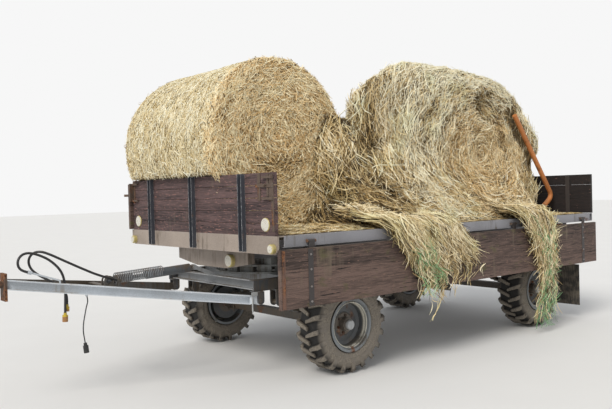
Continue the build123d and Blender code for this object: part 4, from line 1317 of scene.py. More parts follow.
@dataclass
class LooseHeap:
    """The rear bale, burst open into a domed heap that slides down to the deck's near edge."""

    node: str = "hay_bale_rear"
    eye: Point = (0.66, 1.60, 1.72)
    strands: int = 35000
    long_strands: int = 8500
    golden_strands: int = 9500
    slides: tuple[tuple[Point, Point], ...] = (
        ((0.44, -0.12, 1.58), (0.22, 0.24, 0.48)),
        ((0.46, 0.00, 1.14), (0.34, 0.40, 0.30)))
    bar: Outline = ((2.145, 2.139), (2.82, 1.288), (2.66, 1.188))
    pits: tuple[tuple[float, float, float, float], ...] = (
        (1.70, 2.235, 0.13, 0.12), (1.93, 2.08, 0.10, 0.06), (1.82, 2.16, 0.09, 0.07),
        (0.80, 2.10, 0.07, 0.03), (0.86, 2.03, 0.07, 0.02), (0.12, 1.79, 0.11, 0.06),
        (-0.10, 1.60, 0.10, 0.05), (1.98, 1.86, 0.09, 0.03), (0.50, 1.33, 0.10, 0.05),
        (0.16, 1.36, 0.10, 0.05), (-0.30, 1.28, 0.10, 0.06), (2.20, 1.95, 0.09, 0.03),
        (0.35, 1.58, 0.08, 0.03), (1.30, 1.97, 0.07, 0.02), (2.35, 1.60, 0.10, 0.03),
        (2.25, 1.35, 0.10, 0.03))
    # The heap's packed core is painted darker than the straw, as the shade between the loose strands
    packed: PackedStraw = PackedStraw("heap_packed_straw_shade", 0.6, (0.035, 0.023, 0.009), (0.22, 0.15, 0.06),
                                      (0.56, 0.43, 0.23))

    def build(self) -> None:
        """Builds the heap, its short strands and the long ones that hang and slide down it."""
        bale = Bench.cast(self.node, "rear_heap")
        core = Bench.join("rear_heap", [bale] + [self.slide(*place) for place in self.slides])
        lumpy(core, 0.026, 0.030, 0.25, 0.016)
        self.spill(core)
        self.coarse, self.fine = Streaks(41), Streaks(42)
        furrow(core, self.relief, DECK_TOP + 0.001)
        settle(core, "wagon", self.packed, [self.node])
        short = StrawCoat("rear_heap_strands", self.strands, (0.05, 0.17), 0.0058, self.flow, self.tone,
                          self.seen, spread=0.40, stray=0.2, variety=0.28, shaded=0.24, lift=0.024,
                          within=CLOSED_BOARD, seed=5)
        long = StrawCoat("rear_heap_long_strands", self.long_strands, (0.16, 0.42), 0.0056, self.flow,
                         self.long_tone, self.front_share, spread=0.26, stray=0.08, variety=0.26,
                         shaded=0.2, lift=0.045, steps=5, within=CLOSED_BOARD, seed=6)
        golden = StrawCoat("rear_heap_golden_strands", self.golden_strands, (0.06, 0.20), 0.0058, self.flow,
                           self.golden_tone, self.round_eye, spread=0.34, stray=0.14, variety=0.3,
                           shaded=0.22, lift=0.028, seed=7)
        for coat, finish in ((short, HEAP_STRAW), (long, HEAP_STRAW), (golden, END_STRAW)):
            settle(coat.grow(core), "wagon", finish)

    def slide(self, centre: Point, size: Point) -> Piece:
        """Heaps a mound of slipped straw on the deck.

        Args:
            centre: Its middle.
            size: Its reach each way.

        Returns:
            The mound.
        """
        bpy.ops.mesh.primitive_uv_sphere_add(segments=32, ring_count=24, radius=1.0, location=centre,
                                             scale=size)
        mound = Bench.begin("mound")
        for vertex in mound.data.vertices:
            vertex.co.z = max(vertex.co.z, DECK_TOP + 0.003)
        return mound

    def spill(self, piece: Piece) -> None:
        """Lets the foot of the near face slope out to the deck's edge.

        Args:
            piece: The piece.
        """
        spots = read_points(piece.data)
        top = 1.86 - 0.16 * ease(spots[:, 1], 0.1, 1.3)
        low = np.clip((top - spots[:, 2]) / (top - 1.08), 0, 1) ** 1.15
        out = low * ease(spots[:, 1], -0.35, 0.25) * ease(spots[:, 1], 2.42, 2.0)
        spots[:, 0] += 0.37 * np.clip((spots[:, 0] - 0.1) / 0.56, 0, 1.0) * out
        over = np.maximum(spots[:, 0] - 0.96, 0)
        spots[:, 0] -= over - 0.10 * np.tanh(over / 0.10)
        tight = 1 - 0.52 * ease(spots[:, 2], 1.92, 1.62) - 0.25 * ease(spots[:, 2], 1.45, 1.15)
        spots[:, 1] = np.where(spots[:, 1] > 2.40, 2.40 + (spots[:, 1] - 2.40) * tight, spots[:, 1])
        move_points(piece.data, spots)

    def clear_of_bar(self, spots: Array) -> Array:
        """Gives how near each spot of the near face is to the load bar, from 0 to 1.

        Args:
            spots: Places on the load.

        Returns:
            A number for each place.
        """
        nearest = np.full(len(spots), 9.0)
        for (y, z), (next_y, next_z) in zip(self.bar, self.bar[1:]):
            along = np.array([next_y - y, next_z - z])
            off = spots[:, 1:] - np.array([y, z])
            share = np.clip(off @ along / (along @ along), 0, 1)
            nearest = np.minimum(nearest, np.linalg.norm(off - share[:, None] * along, axis=1))
        return ease(nearest, 0.14, 0.05) * (spots[:, 0] > 0.3)

    def shares(self, spots: Array) -> tuple[Array, Array]:
        """Gives how much the straw hangs straight down, and how much it slides askew, at each spot.

        Args:
            spots: Places on the load.

        Returns:
            The hanging share and the sliding share of each place.
        """
        _, y, z = spots.T
        slid = ease(z, 1.62, 1.40) * ease(y, 1.35, 0.75)
        hung = ease(y, 0.75, 0.15) * ease(z, 2.35, 2.05) * (1 - slid)
        return hung, slid

    def flow(self, spots: Array, normals: Array) -> Array:
        """Gives rings round the bale's eye, straws that hang at the front and straws that slide low down.

        Args:
            spots: Places on the load.
            normals: The load's normals there.

        Returns:
            A direction for each place.
        """
        out = spots - np.array(self.eye)
        out[:, 0] = 0
        rings = unit(np.cross(np.array([1.0, 0.0, 0.0]), out))
        rings *= np.where(rings[:, 2:] > 0, -1.0, 1.0)
        hung, slid = (s[:, None] for s in self.shares(spots))
        fall = np.array([0.15, 0.08, -1.0])
        slip = np.array([0.45, 0.85, -0.62])
        way = rings * (1 - hung - slid) + fall * hung + slip * slid
        return way - normals * np.sum(way * normals, axis=1, keepdims=True)

    def locks(self, spots: Array) -> Array:
        """Gives how far each spot stands out in its lock of straw, or lies between two.

        Args:
            spots: Places on the load.

        Returns:
            A number for each place, below 0 between locks.
        """
        x, y, z = spots.T
        out = spots - np.array(self.eye)
        reach = np.hypot(out[:, 1], out[:, 2]) + 0.8 * np.abs(out[:, 0])
        turn = np.arctan2(out[:, 1], out[:, 2]) / (2 * math.pi)
        hung, slid = self.shares(spots)
        across = y + 0.5 * x
        cut = 0.75 * y + 1.0 * z
        ring = 0.55 * self.fine.at(reach / 0.026, turn * 46) + 0.45 * self.coarse.at(reach / 0.085, turn * 13)
        hang = 0.6 * self.fine.at(across / 0.03, z / 0.22)
        hang += 0.6 * self.coarse.at(across / 0.075, z / 0.5)
        slip = 0.6 * self.fine.at(cut / 0.03, y / 0.25)
        slip += 0.5 * self.coarse.at(cut / 0.08, y / 0.5)
        return ring * (1 - hung - slid) + hang * hung + slip * slid

    def pit(self, spots: Array, normals: Array) -> Array:
        """Gives how deep in one of the near face's holes each spot lies, from 0 to 1.

        Args:
            spots: Places on the load.
            normals: The load's normals there.

        Returns:
            A number for each place.
        """
        _, y, z = spots.T
        deepest = np.zeros(len(spots))
        for across, up, size, deep in self.pits:
            away = np.hypot((y - across) * 0.8, z - up)
            away += 0.03 * self.fine.at(y / 0.05, z / 0.09)
            depth = (0.3 + 6 * deep) * ease(away, size * 1.4, size * 0.2) * (normals[:, 0] > 0.1)
            deepest = np.maximum(deepest, depth)
        return deepest

    def relief(self, spots: Array, normals: Array) -> Array:
        """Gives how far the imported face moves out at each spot.

        Args:
            spots: Places on the load.
            normals: The load's normals there.

        Returns:
            A distance for each place.
        """
        _, y, z = spots.T
        move = 0.024 * self.locks(spots)
        for across, up, size, deep in self.pits:
            away = np.hypot((y - across) * 0.8, z - up)
            move -= deep * ease(away, size * 1.4, size * 0.2) * (normals[:, 0] > 0.3)
        return move - 0.05 * self.clear_of_bar(spots)

    def seen(self, spots: Array, normals: Array) -> Array:
        """Puts more strands on the faces that are turned out and up.

        Args:
            spots: Places on the load.
            normals: The load's normals there.

        Returns:
            A share for each place.
        """
        crown = ease(normals[:, 2], 0.3, 0.8) * ease(spots[:, 2], 1.9, 2.2)
        shown = 0.25 + 0.75 * (normals[:, 0] + normals[:, 2] > 0.1) + 1.1 * crown
        return shown * (1 - self.clear_of_bar(spots)) * (1 - 0.8 * self.near_eye(spots))

    def near_eye(self, spots: Array) -> Array:
        """Gives how near each spot is to the bale's eye, low on its near face, from 0 to 1.

        Args:
            spots: Places on the load.

        Returns:
            A number for each place.
        """
        x, y, z = spots.T
        away = np.hypot((y - self.eye[1] - 0.12) * 0.8, z - self.eye[2] + 0.12)
        return ease(away, 0.72, 0.35) * (x > 0.2)

    def round_eye(self, spots: Array, normals: Array) -> Array:
        """Puts the golden strands round the eye."""
        return self.near_eye(spots) * (1 - self.clear_of_bar(spots)) * (normals[:, 0] > 0)

    def golden_tone(self, spots: Array, normals: Array) -> Array:
        """Golden in rings, like the front bale's end, and dark between locks and in the holes as painted
        shade.
        """
        return 0.62 + 0.56 * self.locks(spots) - 0.6 * self.pit(spots, normals)

    def front_share(self, spots: Array, normals: Array) -> Array:
        """Puts the long strands on the hanging front, the slides and the overhanging right edge.

        Args:
            spots: Places on the load.
            normals: The load's normals there.

        Returns:
            A share for each place.
        """
        near = (normals[:, 0] > 0.0) | (normals[:, 1] < -0.4)
        hung, slid = self.shares(spots)
        edge = ease(spots[:, 1], 1.95, 2.3)
        bare = np.maximum(np.minimum(self.pit(spots, normals), 1) * 0.8,
                          ease(self.clear_of_bar(spots), 0.0, 0.2))
        return near * (0.12 + hung + 1.3 * slid + 0.5 * edge) * (1 - bare)

    def tone(self, spots: Array, normals: Array) -> Array:
        """Palest on top as painted light from above; dark between locks, in the holes and on the hanging
        front as painted shade; a little darker low down and towards the rear end; golden round the eye.

        Args:
            spots: Places on the load.
            normals: The load's normals there.

        Returns:
            A tone for each place.
        """
        _, y, z = spots.T
        up = np.clip(normals[:, 2], 0, 1) * ease(z, 1.5, 1.9) * ease(y, -0.1, 0.5)
        low = ease(z, 1.7, 1.2)
        front = ease(y, 0.7, -0.1) * ease(z, 2.1, 1.8)
        front += 0.6 * ease(y, 0.28, 0.08) * ease(z, 1.8, 2.0)
        right = ease(y, 1.9, 2.3) * ease(z, 2.1, 1.8)
        # up paints light on the top and front paints shade on the hanging front; low and right darken low
        # down and towards the rear end
        own = 0.84 + 0.85 * up - 0.08 * low - 0.52 * front - 0.22 * right
        # Dark between locks and in the holes: painted shade
        return own + (0.60 - 0.30 * up) * self.locks(spots) - 0.65 * self.pit(spots, normals)

    def long_tone(self, spots: Array, normals: Array) -> Array:
        """A little paler than what lies under them."""
        return self.tone(spots, normals) + 0.08


@dataclass(frozen=True)
class Drape:
    """Straw that spills off the deck and hangs down over the near board, between two outlines."""

    name: str
    front: Outline
    rear: Outline
    reach: tuple[float, ...]
    lean: float
    strands: int
    seed: int
    net_name: str
    net_spread: tuple[float, float]
    net_fall: tuple[float, float]
    net_threads: int
    tone: float = 0.66
    bank: float = 0.10
    edge: float = 1.06
    outside: float = 1.168
    furthest: float = 1.228

    def limit(self, share: Array) -> Array:
        """Gives how far down the straw hangs at each place between the outlines."""
        return np.interp(share, np.linspace(0, 1, len(self.reach)), self.reach)

    def path(self, share: Array, fall: Array, proud: Array) -> Array:
        """Gives points from the deck, over its edge and down.

        Args:
            share: Where each point is between the outlines, from 0 to 1.
            fall: How far down it is, from 0 at the deck's edge to 1, and below 0 on the deck.
            proud: How far it stands out from the board.

        Returns:
            The points.
        """
        down, back = np.clip(fall, 0, 1), np.clip(-fall, 0, 1)
        knots = np.linspace(0, 1, len(self.front))
        first, last = (
            [np.interp(down, knots, [point[k] for point in line]) for k in (0, 1)]
            for line in (self.front, self.rear)
        )
        y = first[0] + (last[0] - first[0]) * share - self.lean * back
        z = first[1] + (last[1] - first[1]) * share
        z += self.bank * ease(back, 0.0, 0.6) + proud * (1 - ease(down, 0.0, 0.2))
        x = self.edge - 0.46 * back + (self.outside - self.edge) * ease(fall, -0.10, 0.10)
        x = np.minimum(x + proud * ease(fall, -0.1, 0.12), self.furthest)
        return np.stack([x, y, z], -1)

    def build(self) -> None:
        """Builds the mat, its strands and its strip of net."""
        # The mat behind the strands is painted dark, as the shade between the hanging locks
        shadow_felt = PackedStraw("drape_packed_straw_shade", 0.75, (0.022, 0.015, 0.007), (0.12, 0.085, 0.04),
                           (0.34, 0.26, 0.14))
        for piece, finish in ((self.mat(), shadow_felt), (self.hang(), DRAPE_STRAW), (self.net(), NET_GREEN)):
            hang_over_board(piece, finish)

    def mat(self) -> Piece:
        """Shapes the felted straw behind the strands.

        Returns:
            The mat.
        """
        bpy.ops.mesh.primitive_grid_add(x_subdivisions=60, y_subdivisions=44, size=1.0)
        piece = Bench.begin(self.name + "_mat")
        spots = np.array([v.co[:] for v in piece.data.vertices])
        share = np.clip(spots[:, 0] + 0.5, 0, 1)
        along = np.clip(spots[:, 1] + 0.5, 0, 1)
        chance = Streaks(self.seed)
        ragged = 0.74 + 0.16 * chance.at(share * 11, np.zeros(len(share)))
        ragged += 0.10 * chance.at(share * 31, np.ones(len(share)))
        finish = self.limit(share) * ragged
        fall = -0.32 + (0.32 + finish) * along
        narrow = (share - 0.5) * (0.90 - 0.12 * ease(fall / finish, 0.4, 1.0))
        share = 0.5 + narrow + 0.02 * chance.at(fall * 9, share * 3)
        swell = 0.02 * np.sin(share * math.pi) * ease(fall, 0.9, 0.1)
        proud = 0.004 + swell * (1 + 0.8 * chance.at(share * 13, fall * 3))
        for vertex, place in zip(piece.data.vertices, self.path(share, fall, proud)):
            vertex.co = place
        Bench.finish(piece, "SOLIDIFY", thickness=0.010, offset=-1.0)
        Bench.soften(piece, 60.0)
        return piece

    def hang(self) -> Piece:
        """Hangs the loose strands over the mat in tangled locks that cross each other.

        Returns:
            The strands' mesh.
        """
        chance = np.random.default_rng(self.seed)
        count = self.strands
        bunches = 110
        lock = chance.integers(0, bunches, count)
        share = np.clip(chance.uniform(0, 1, bunches)[lock] + chance.normal(0, 0.036, count), -0.02, 1.02)
        stand = chance.uniform(0.0, 1.0, bunches)[lock]
        turned = chance.normal(0, 0.16, bunches)[lock]
        limit = self.limit(share) * chance.uniform(0.74, 1.06, bunches)[lock]
        limit *= chance.uniform(0.84, 1.06, count)
        tail = chance.random(count) < 0.016
        limit = np.where(tail, np.minimum(limit * chance.uniform(1.1, 1.5, count), 0.95), limit)
        length = chance.uniform(0.06, 0.30, count)
        middle = limit - length / 2 - (limit + 0.38) * chance.random(count) ** 1.15 * (~tail)
        angle = turned + chance.normal(0, 0.30, count)
        angle = np.where(chance.random(count) < 0.16, chance.uniform(-1.3, 1.3, count), angle)
        curl = chance.normal(0, 0.8, count) * length
        loose = 0.004 + 0.028 * chance.random(count) ** 2
        lines = []
        for step in range(5):
            part = step / 4 - 0.5
            fall = np.minimum(middle + part * length * np.cos(angle), 0.99)
            proud = loose + 0.045 * stand * ease(fall, 0.8, 0.05) + 0.02 * (2 * part) ** 2 * stand
            place = self.path(share, fall, proud)
            place[:, 1] += part * length * np.sin(angle) + curl * part * part
            lines.append(place)
        normals = np.tile(np.array([0.85, -0.1, 0.5]), (count, 5, 1))
        tone = self.tone + chance.normal(0, 0.19, bunches)[lock]
        # Strands that stand out or hang loose are painted lighter, and 28 per cent are painted dark as the
        # shade in the gaps between locks
        tone += 0.36 * (stand - 0.5) + 10.0 * (loose - 0.013)
        tone -= 0.5 * (chance.random(count) < 0.28)
        return StrawCoat.ribbons(self.name + "_strands", np.stack(lines, 1), normals, 0.0060, tone, 0.27,
                                 chance)

    def net(self) -> Piece:
        """Hangs a torn strip of green net in the drape.

        Returns:
            The strip.
        """
        chance = np.random.default_rng(self.seed + 50)
        threads = self.net_threads
        share = chance.uniform(*self.net_spread, threads)
        middle = chance.uniform(*self.net_fall, threads)
        length = chance.uniform(0.08, 0.26, threads)
        lean = chance.choice([-1.0, 1.0], threads) * chance.uniform(0.2, 0.9, threads)
        curl = chance.normal(0, 1.0, threads) * length
        lines = []
        for step in range(6):
            part = step / 5 - 0.5
            proud = 0.035 + 0.04 * ease(middle, 0.7, 0.1) + 0.015 * np.sin(7 * part + share * 25)
            place = self.path(share, np.minimum(middle + part * length * np.cos(lean), 0.995), proud)
            place[:, 1] += part * length * np.sin(lean) + curl * part * part
            lines.append(place)
        normals = np.tile(np.array([0.85, -0.1, 0.5]), (threads, 6, 1))
        tone = chance.uniform(0.2, 0.8, threads)
        return StrawCoat.ribbons(self.net_name, np.stack(lines, 1), normals, 0.0036, tone, 0.1, chance)


def hang_over_board(piece: Piece, finish: Finish) -> None:
    """Bakes the place of straw that lies on the deck and hangs over the near board into its mesh, and gives
    it its finish.

    Args:
        piece: The piece.
        finish: Its finish.
    """
    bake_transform(piece)
    clothe(piece, finish)
    LOG.info("%s bends from wagon to left_board", piece.name)


DRAPES = (
    Drape("straw_drape_front",
          front=((-0.28, 1.133), (-0.07, 0.887), (0.05, 0.65), (0.09, 0.45), (0.09, 0.19)),
          rear=((0.46, 1.12), (0.73, 0.93), (0.89, 0.74), (0.76, 0.50), (0.74, 0.25)),
          reach=(0.50, 0.60, 0.54, 0.50, 0.42), lean=0.30, strands=9500, seed=21,
          net_name="net_strip_front", net_spread=(0.04, 0.36), net_fall=(0.22, 0.62), net_threads=80),
    Drape("straw_drape_rear",
          front=((1.44, 1.15), (1.68, 0.896), (1.79, 0.60), (1.72, 0.318), (1.60, 0.06)),
          rear=((1.90, 1.144), (2.00, 0.964), (2.01, 0.648), (2.03, 0.355), (2.06, 0.05)),
          reach=(0.64, 0.72, 0.76, 0.78, 0.72), lean=0.25, strands=6800, seed=22, tone=0.54,
          net_name="net_strip_rear", net_spread=(0.10, 0.98), net_fall=(0.15, 0.98), net_threads=190),
)


@dataclass
class DeckLitter:
    """Loose straw along the near edge of the deck."""

    strands: int = 11000
    front: float = -1.16
    length: float = 3.98
    inner: float = 0.30

    def build(self) -> None:
        """Builds the litter on a low bed of straw."""
        bpy.ops.mesh.primitive_grid_add(x_subdivisions=24, y_subdivisions=120, size=1.0)
        bed = Bench.begin("deck_straw_bed")
        waves = Streaks(12)
        for vertex in bed.data.vertices:
            across = vertex.co.x + 0.5
            along = vertex.co.y + 0.5
            y = self.front + along * self.length
            edge = 1.038 + 0.022 * float(waves.at(np.array([y * 7.0]), np.array([0.5]))[0])
            x = self.inner + across * (edge - self.inner)
            hump = math.sin(math.pi * min(across * 1.1, 1.0)) ** 0.7 * min(1.0, along * 12, (1 - along) * 12)
            tall = 0.034 + 0.016 * float(waves.at(np.array([y * 11.0]), np.array([x * 9.0]))[0])
            vertex.co = (x, y, DECK_TOP + 0.002 + max(0.002, tall * hump))
        Bench.finish(bed, "SOLIDIFY", thickness=0.002, offset=-1.0)
        Bench.soften(bed, 60.0)
        # The bed is darkened as painted shade under the strands
        settle(bed, "wagon", PackedStraw("bed_packed_straw_shade", depth=0.8))
        coat = StrawCoat("deck_straw_strands", self.strands, (0.06, 0.2), 0.006, self.scattered,
                         tone=lambda p, n: 0.60 + 0.25 * waves.at(p[:, 1] / 0.06, p[:, 0] / 0.03),
                         spread=1.2, lift=0.018, seed=9, variety=0.22, within=CLOSED_BOARD,
                         density=lambda p, n: (n[:, 2] > 0.2) * 1.0)
        settle(coat.grow(bed), "wagon", HEAP_STRAW)

    def scattered(self, spots: Array, normals: Array) -> Array:
        """Gives strands that mostly lie along the deck's edge."""
        way = np.tile(np.array([0.35, 1.0, 0.0]), (len(spots), 1))
        return way - normals * np.sum(way * normals, axis=1, keepdims=True)


@dataclass
class FarmTyre:
    """A lugged wagon tyre, modelled once and copied to the four wheels."""

    radius: float = 0.370
    tread: float = 0.338
    half_width: float = 0.1325
    lugs: int = 20
    wheels: tuple[str, ...] = ("front_left", "front_right", "rear_left", "rear_right")

    def carcass(self) -> Piece:
        """Turns the casing with its bead, sidewall ribs and crown.

        Returns:
            The casing.
        """
        wall = [
            (0.2095, 0.098), (0.216, 0.1115), (0.227, 0.1215), (0.241, 0.1275), (0.247, 0.1300),
            (0.253, 0.1280), (0.270, 0.1306), (0.279, 0.1322), (0.285, 0.1322), (0.290, 0.1300),
            (0.304, 0.1275), (0.319, 0.1205), (0.331, 0.106), (self.tread, 0.084),
            (self.tread + 0.001, 0.028),
        ]
        outline = [(r, x) for r, x in wall] + [(r, -x) for r, x in reversed(wall)]
        return Bench.turned("casing", outline, (0.0, 0.0, 0.0), (1.0, 0.0, 0.0), sides=84, ring=True)

    def lug(self) -> Piece:
        """Shapes one lug from the middle of the tread down over its shoulder.

        Returns:
            The lug.
        """
        reach = self.half_width - 0.0005
        low = (-0.012, -0.0205, self.tread - 0.012)
        high = (reach, 0.0205, self.radius - 0.0005)
        piece = Bench.block("lug", low, high, 0.0001)
        Bench.open(piece)
        bpy.ops.mesh.subdivide(number_cuts=3)
        Bench.close()
        for vertex in piece.data.vertices:
            share = (vertex.co.x - low[0]) / (reach - low[0])
            tall = (vertex.co.z - low[2]) / (high[2] - low[2])
            vertex.co.y = vertex.co.y * (1.12 - 0.22 * tall) * (0.74 + 0.32 * share) + 0.052 * (share - 0.3)
            drop = 0.062 * max(0.0, share - 0.70) ** 2 / 0.09
            vertex.co.z = vertex.co.z - (drop * (0.34 if tall > 0.9 else 1.0)) - 0.005 * (1 - share) * tall
        Bench.open(piece)
        bpy.ops.mesh.remove_doubles(threshold=0.0008)
        Bench.close()
        Bench.finish(piece, "BEVEL", width=0.004, segments=2, limit_method="ANGLE",
                     angle_limit=math.radians(40))
        return piece

    def dust_with_groove_shade(self, spot: Vector) -> float:
        """Says how dusty a spot of the tyre is: lugs' tops and sidewalls most, the grooves not at all, so
        they stay black as painted shade.

        Args:
            spot: A place on the tyre, from the wheel's middle.

        Returns:
            A number from 0 to 1.
        """
        radius = math.hypot(spot.y, spot.z)
        if radius > self.tread + 0.003:
            return min(1.0, (radius - self.tread) / 0.026)
        # The grooves get no dust, so they stay black as painted shade
        if abs(spot.x) < 0.1 and radius > 0.32:
            return 0.0
        return 0.85 - 0.6 * max(0.0, (radius - 0.30) / 0.04)

    def build(self) -> None:
        """Makes the tyre and sets one on each wheel."""
        pattern = self.lug()
        places = []
        for turn in range(self.lugs):
            angle = 2 * math.pi * turn / self.lugs
            places.append(Matrix.Rotation(angle, 4, "X"))
            mirror = Matrix.Scale(-1, 4, (1.0, 0.0, 0.0))
            places.append(Matrix.Rotation(angle + math.pi / self.lugs, 4, "X") @ mirror)
        lugs = Bench.spread("lugs", pattern, places)
        Bench.finish(lugs, "DISPLACE", texture=clods("tread_clods", 0.022), strength=0.010, mid_level=0.62,
                     texture_coords="LOCAL")
        tyre = Bench.join("tyre_pattern", [self.carcass(), lugs])
        mesh = tyre.data
        dust = mesh.attributes.new("dust", "FLOAT", "POINT")
        dust.data.foreach_set("value", [self.dust_with_groove_shade(v.co) for v in mesh.vertices])
        Bench.soften(tyre, 35.0)
        for number, wheel in enumerate(self.wheels):
            node = "tyre_" + wheel
            low, high = (Vector(c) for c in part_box(node))
            copy = add_object("farm_tyre_" + wheel, mesh.copy())
            turn = Matrix.Rotation(0.11 + 0.37 * number, 4, "X")
            copy.data.transform(Matrix.Translation((low + high) / 2) @ turn)
            settle(copy, "wheel_" + wheel, MuddyTyre("muddy_rubber"), [node])
        bpy.data.objects.remove(tyre)


@dataclass
class WheelHardware:
    """The paint, the nuts and the rim rings of the four wheels."""

    nuts: int = 6
    nut_circle: float = 0.066

    def build(self) -> None:
        """Paints the wheels and adds their nuts and rings."""
        for wheel in FarmTyre.wheels:
            low, high = (Vector(c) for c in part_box("tyre_" + wheel))
            centre = (low + high) / 2
            out = 1.0 if centre.x > 0 else -1.0
            paint = WheelPaint("wheel_paint_" + wheel, centre=tuple(centre))
            dress("rim_" + wheel, paint)
            places = []
            outline = [(0.0115, 0.0), (0.0115, 0.011), (0.0095, 0.014), (0.0055, 0.014), (0.0055, 0.021),
                       (0.003, 0.022)]
            nut = Bench.turned("nut", outline, (0.0, 0.0, 0.0), (out, 0.0, 0.0), sides=6)
            for turn in range(self.nuts):
                angle = 2 * math.pi * (turn + 0.3) / self.nuts
                y, z = math.cos(angle) * self.nut_circle, math.sin(angle) * self.nut_circle
                spot = centre + Vector((out * 0.029, y, z))
                places.append(Matrix.Translation(spot) @ Matrix.Rotation(angle, 4, "X"))
            nuts = Bench.spread("wheel_nuts_" + wheel, nut, places)
            settle(nuts, "wheel_" + wheel, IRON)
            outline = [(0.1915, 0.0), (0.1915, 0.006), (0.181, 0.0065), (0.1755, 0.010), (0.1705, 0.0075),
                       (0.170, 0.0)]
            foot = centre + Vector((out * 0.097, 0.0, 0.0))
            lip = Bench.turned("rim_ring_" + wheel, outline, tuple(foot), (out, 0.0, 0.0), sides=72,
                               ring=True)
            settle(lip, "wheel_" + wheel, paint)


def dress(node: str, finish: Finish) -> None:
    """Puts a finish on a CAD node's material slots.

    Args:
        node: The CAD node.
        finish: Its finish.
    """
    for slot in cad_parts[node].material_slots:
        slot.material = finish.make()
    LOG.info("%s is dressed in %s", node, finish.name)


@dataclass(frozen=True)
class Wardrobe:
    """The finish of each CAD node that keeps its own shape."""

    def build(self) -> None:
        """Dresses every node."""
        for finish, nodes in (
            (PaintedSteel("slate_frame", (0.30, 0.296, 0.315), (0.62, 0.62, 0.62), dirt_amount=0.38,
                          edge_amount=0.9),
             "frame_rails cross_members rear_subframe flap_arms"),
            # The rails' near-black paint stands in for the shade on their webs, with dirt on top
            (PaintedSteel("dark_frame_painted_shade", (0.065, 0.07, 0.078), (0.30, 0.32, 0.34), dirt_amount=0.55),
             "bogie_rails"),
            (PaintedSteel("pale_turntable", (0.34, 0.35, 0.34), (0.5, 0.51, 0.5), (0.10, 0.075, 0.05), 0.5,
                          0.3),
             "turntable_upper turntable_lower"),
            (PaintedSteel("pale_bogie", (0.31, 0.32, 0.33), (0.60, 0.61, 0.61), (0.13, 0.095, 0.06), 0.42,
                          0.2, 0.9),
             "bogie_beams"),
            (PaintedSteel("pale_beam", (0.37, 0.305, 0.255), (0.5, 0.49, 0.47), dirt_amount=0.42,
                          rust_amount=0.2),
             "front_beams"),
            # The near leg's light blue-grey paint is raised towards white as painted light; the far leg's
            # dark finish, shared with the tie, is dirt together with painted shade inside its channel
            (PaintedSteel("pale_drawbar_painted_light", (0.60, 0.64, 0.68), (0.70, 0.72, 0.73), (0.30, 0.24, 0.17), 0.22,
                          0.10),
             "drawbar_leg_left"),
            (PaintedSteel("soiled_drawbar_painted_shade", (0.12, 0.115, 0.11), (0.30, 0.29, 0.27), (0.075, 0.055, 0.035),
                          0.75, 0.35),
             "drawbar_leg_right drawbar_tie"),
            (PaintedSteel("strut_steel", (0.10, 0.11, 0.12), (0.42, 0.44, 0.46), (0.09, 0.065, 0.045), 0.5,
                          0.25),
             "strut_tube strut_rod"),
            (PaintedSteel("axle_steel", (0.09, 0.078, 0.064), (0.22, 0.2, 0.17), dirt_amount=0.6,
                          rust_amount=0.4),
             "front_axle rear_axle"),
            # The strong edge wear paints the stakes' pale highlight lines along with real rubbed edges
            (PaintedSteel("stake_steel_edge_highlight", (0.06, 0.066, 0.08), (0.5, 0.5, 0.5), dirt_amount=0.3,
                          edge_amount=1.0),
             "headboard_stakes"),
            (IRON, "corner_latches rail_hinges tow_eye"),
            (PaintedSteel("dark_straps", (0.05, 0.042, 0.040), (0.14, 0.12, 0.11), dirt_amount=0.3,
                          rust_amount=0.3),
             "left_board_irons right_board_irons tailboard_irons"),
            (PaintedSteel("rusty_bar", (0.60, 0.22, 0.065), (0.78, 0.42, 0.20), (0.30, 0.13, 0.05), 0.25, 0.3,
                          roughness=0.6),
             "load_bar"),
            (Timber("headboard_timber", (0.140, 0.084, 0.080), (0.022, 0.013, 0.014), (0.34, 0.17, 0.14), 0.3,
                    grain=Grain.ACROSS, plank=(0.0, 0.0, 11.3)),
             "headboard_planks"),
            (Timber("side_timber", (0.172, 0.110, 0.088), (0.022, 0.013, 0.010), (0.26, 0.15, 0.11), 0.2,
                    moss_amount=0.15, plank=(0.0, 0.0, 4.6)),
             "left_board_planks right_board_planks"),
            (Timber("tail_timber", (0.023, 0.015, 0.014), (0.006, 0.004, 0.004), grain=Grain.ACROSS,
                    fleck_amount=0.0),
             "tailboard_planks"),
            (Timber("floor_timber", (0.24, 0.2, 0.15), (0.07, 0.055, 0.04), plank=(4.7, 0.0, 0.0)),
             "deck_floor"),
            (Lens("lamp_lenses"), "lamps"),
            (Moulding("flap_rubber_dusty", (0.05, 0.045, 0.04), grime=(0.2, 0.17, 0.13), grime_amount=0.6,
                      roughness=0.8),
             "mud_flaps"),
            (Moulding("plug_black", (0.02, 0.02, 0.02), grime_amount=0.3), "cable_plug"),
            (Moulding("coupling_heads", (0.34, 0.17, 0.06), (0.58, 0.42, 0.04),
                      ((0.632, 0.668), (0.586, 0.614)), grime_amount=0.25, roughness=0.45),
             "hose_couplings"),
        ):
            for node in nodes.split():
                dress(node, finish)


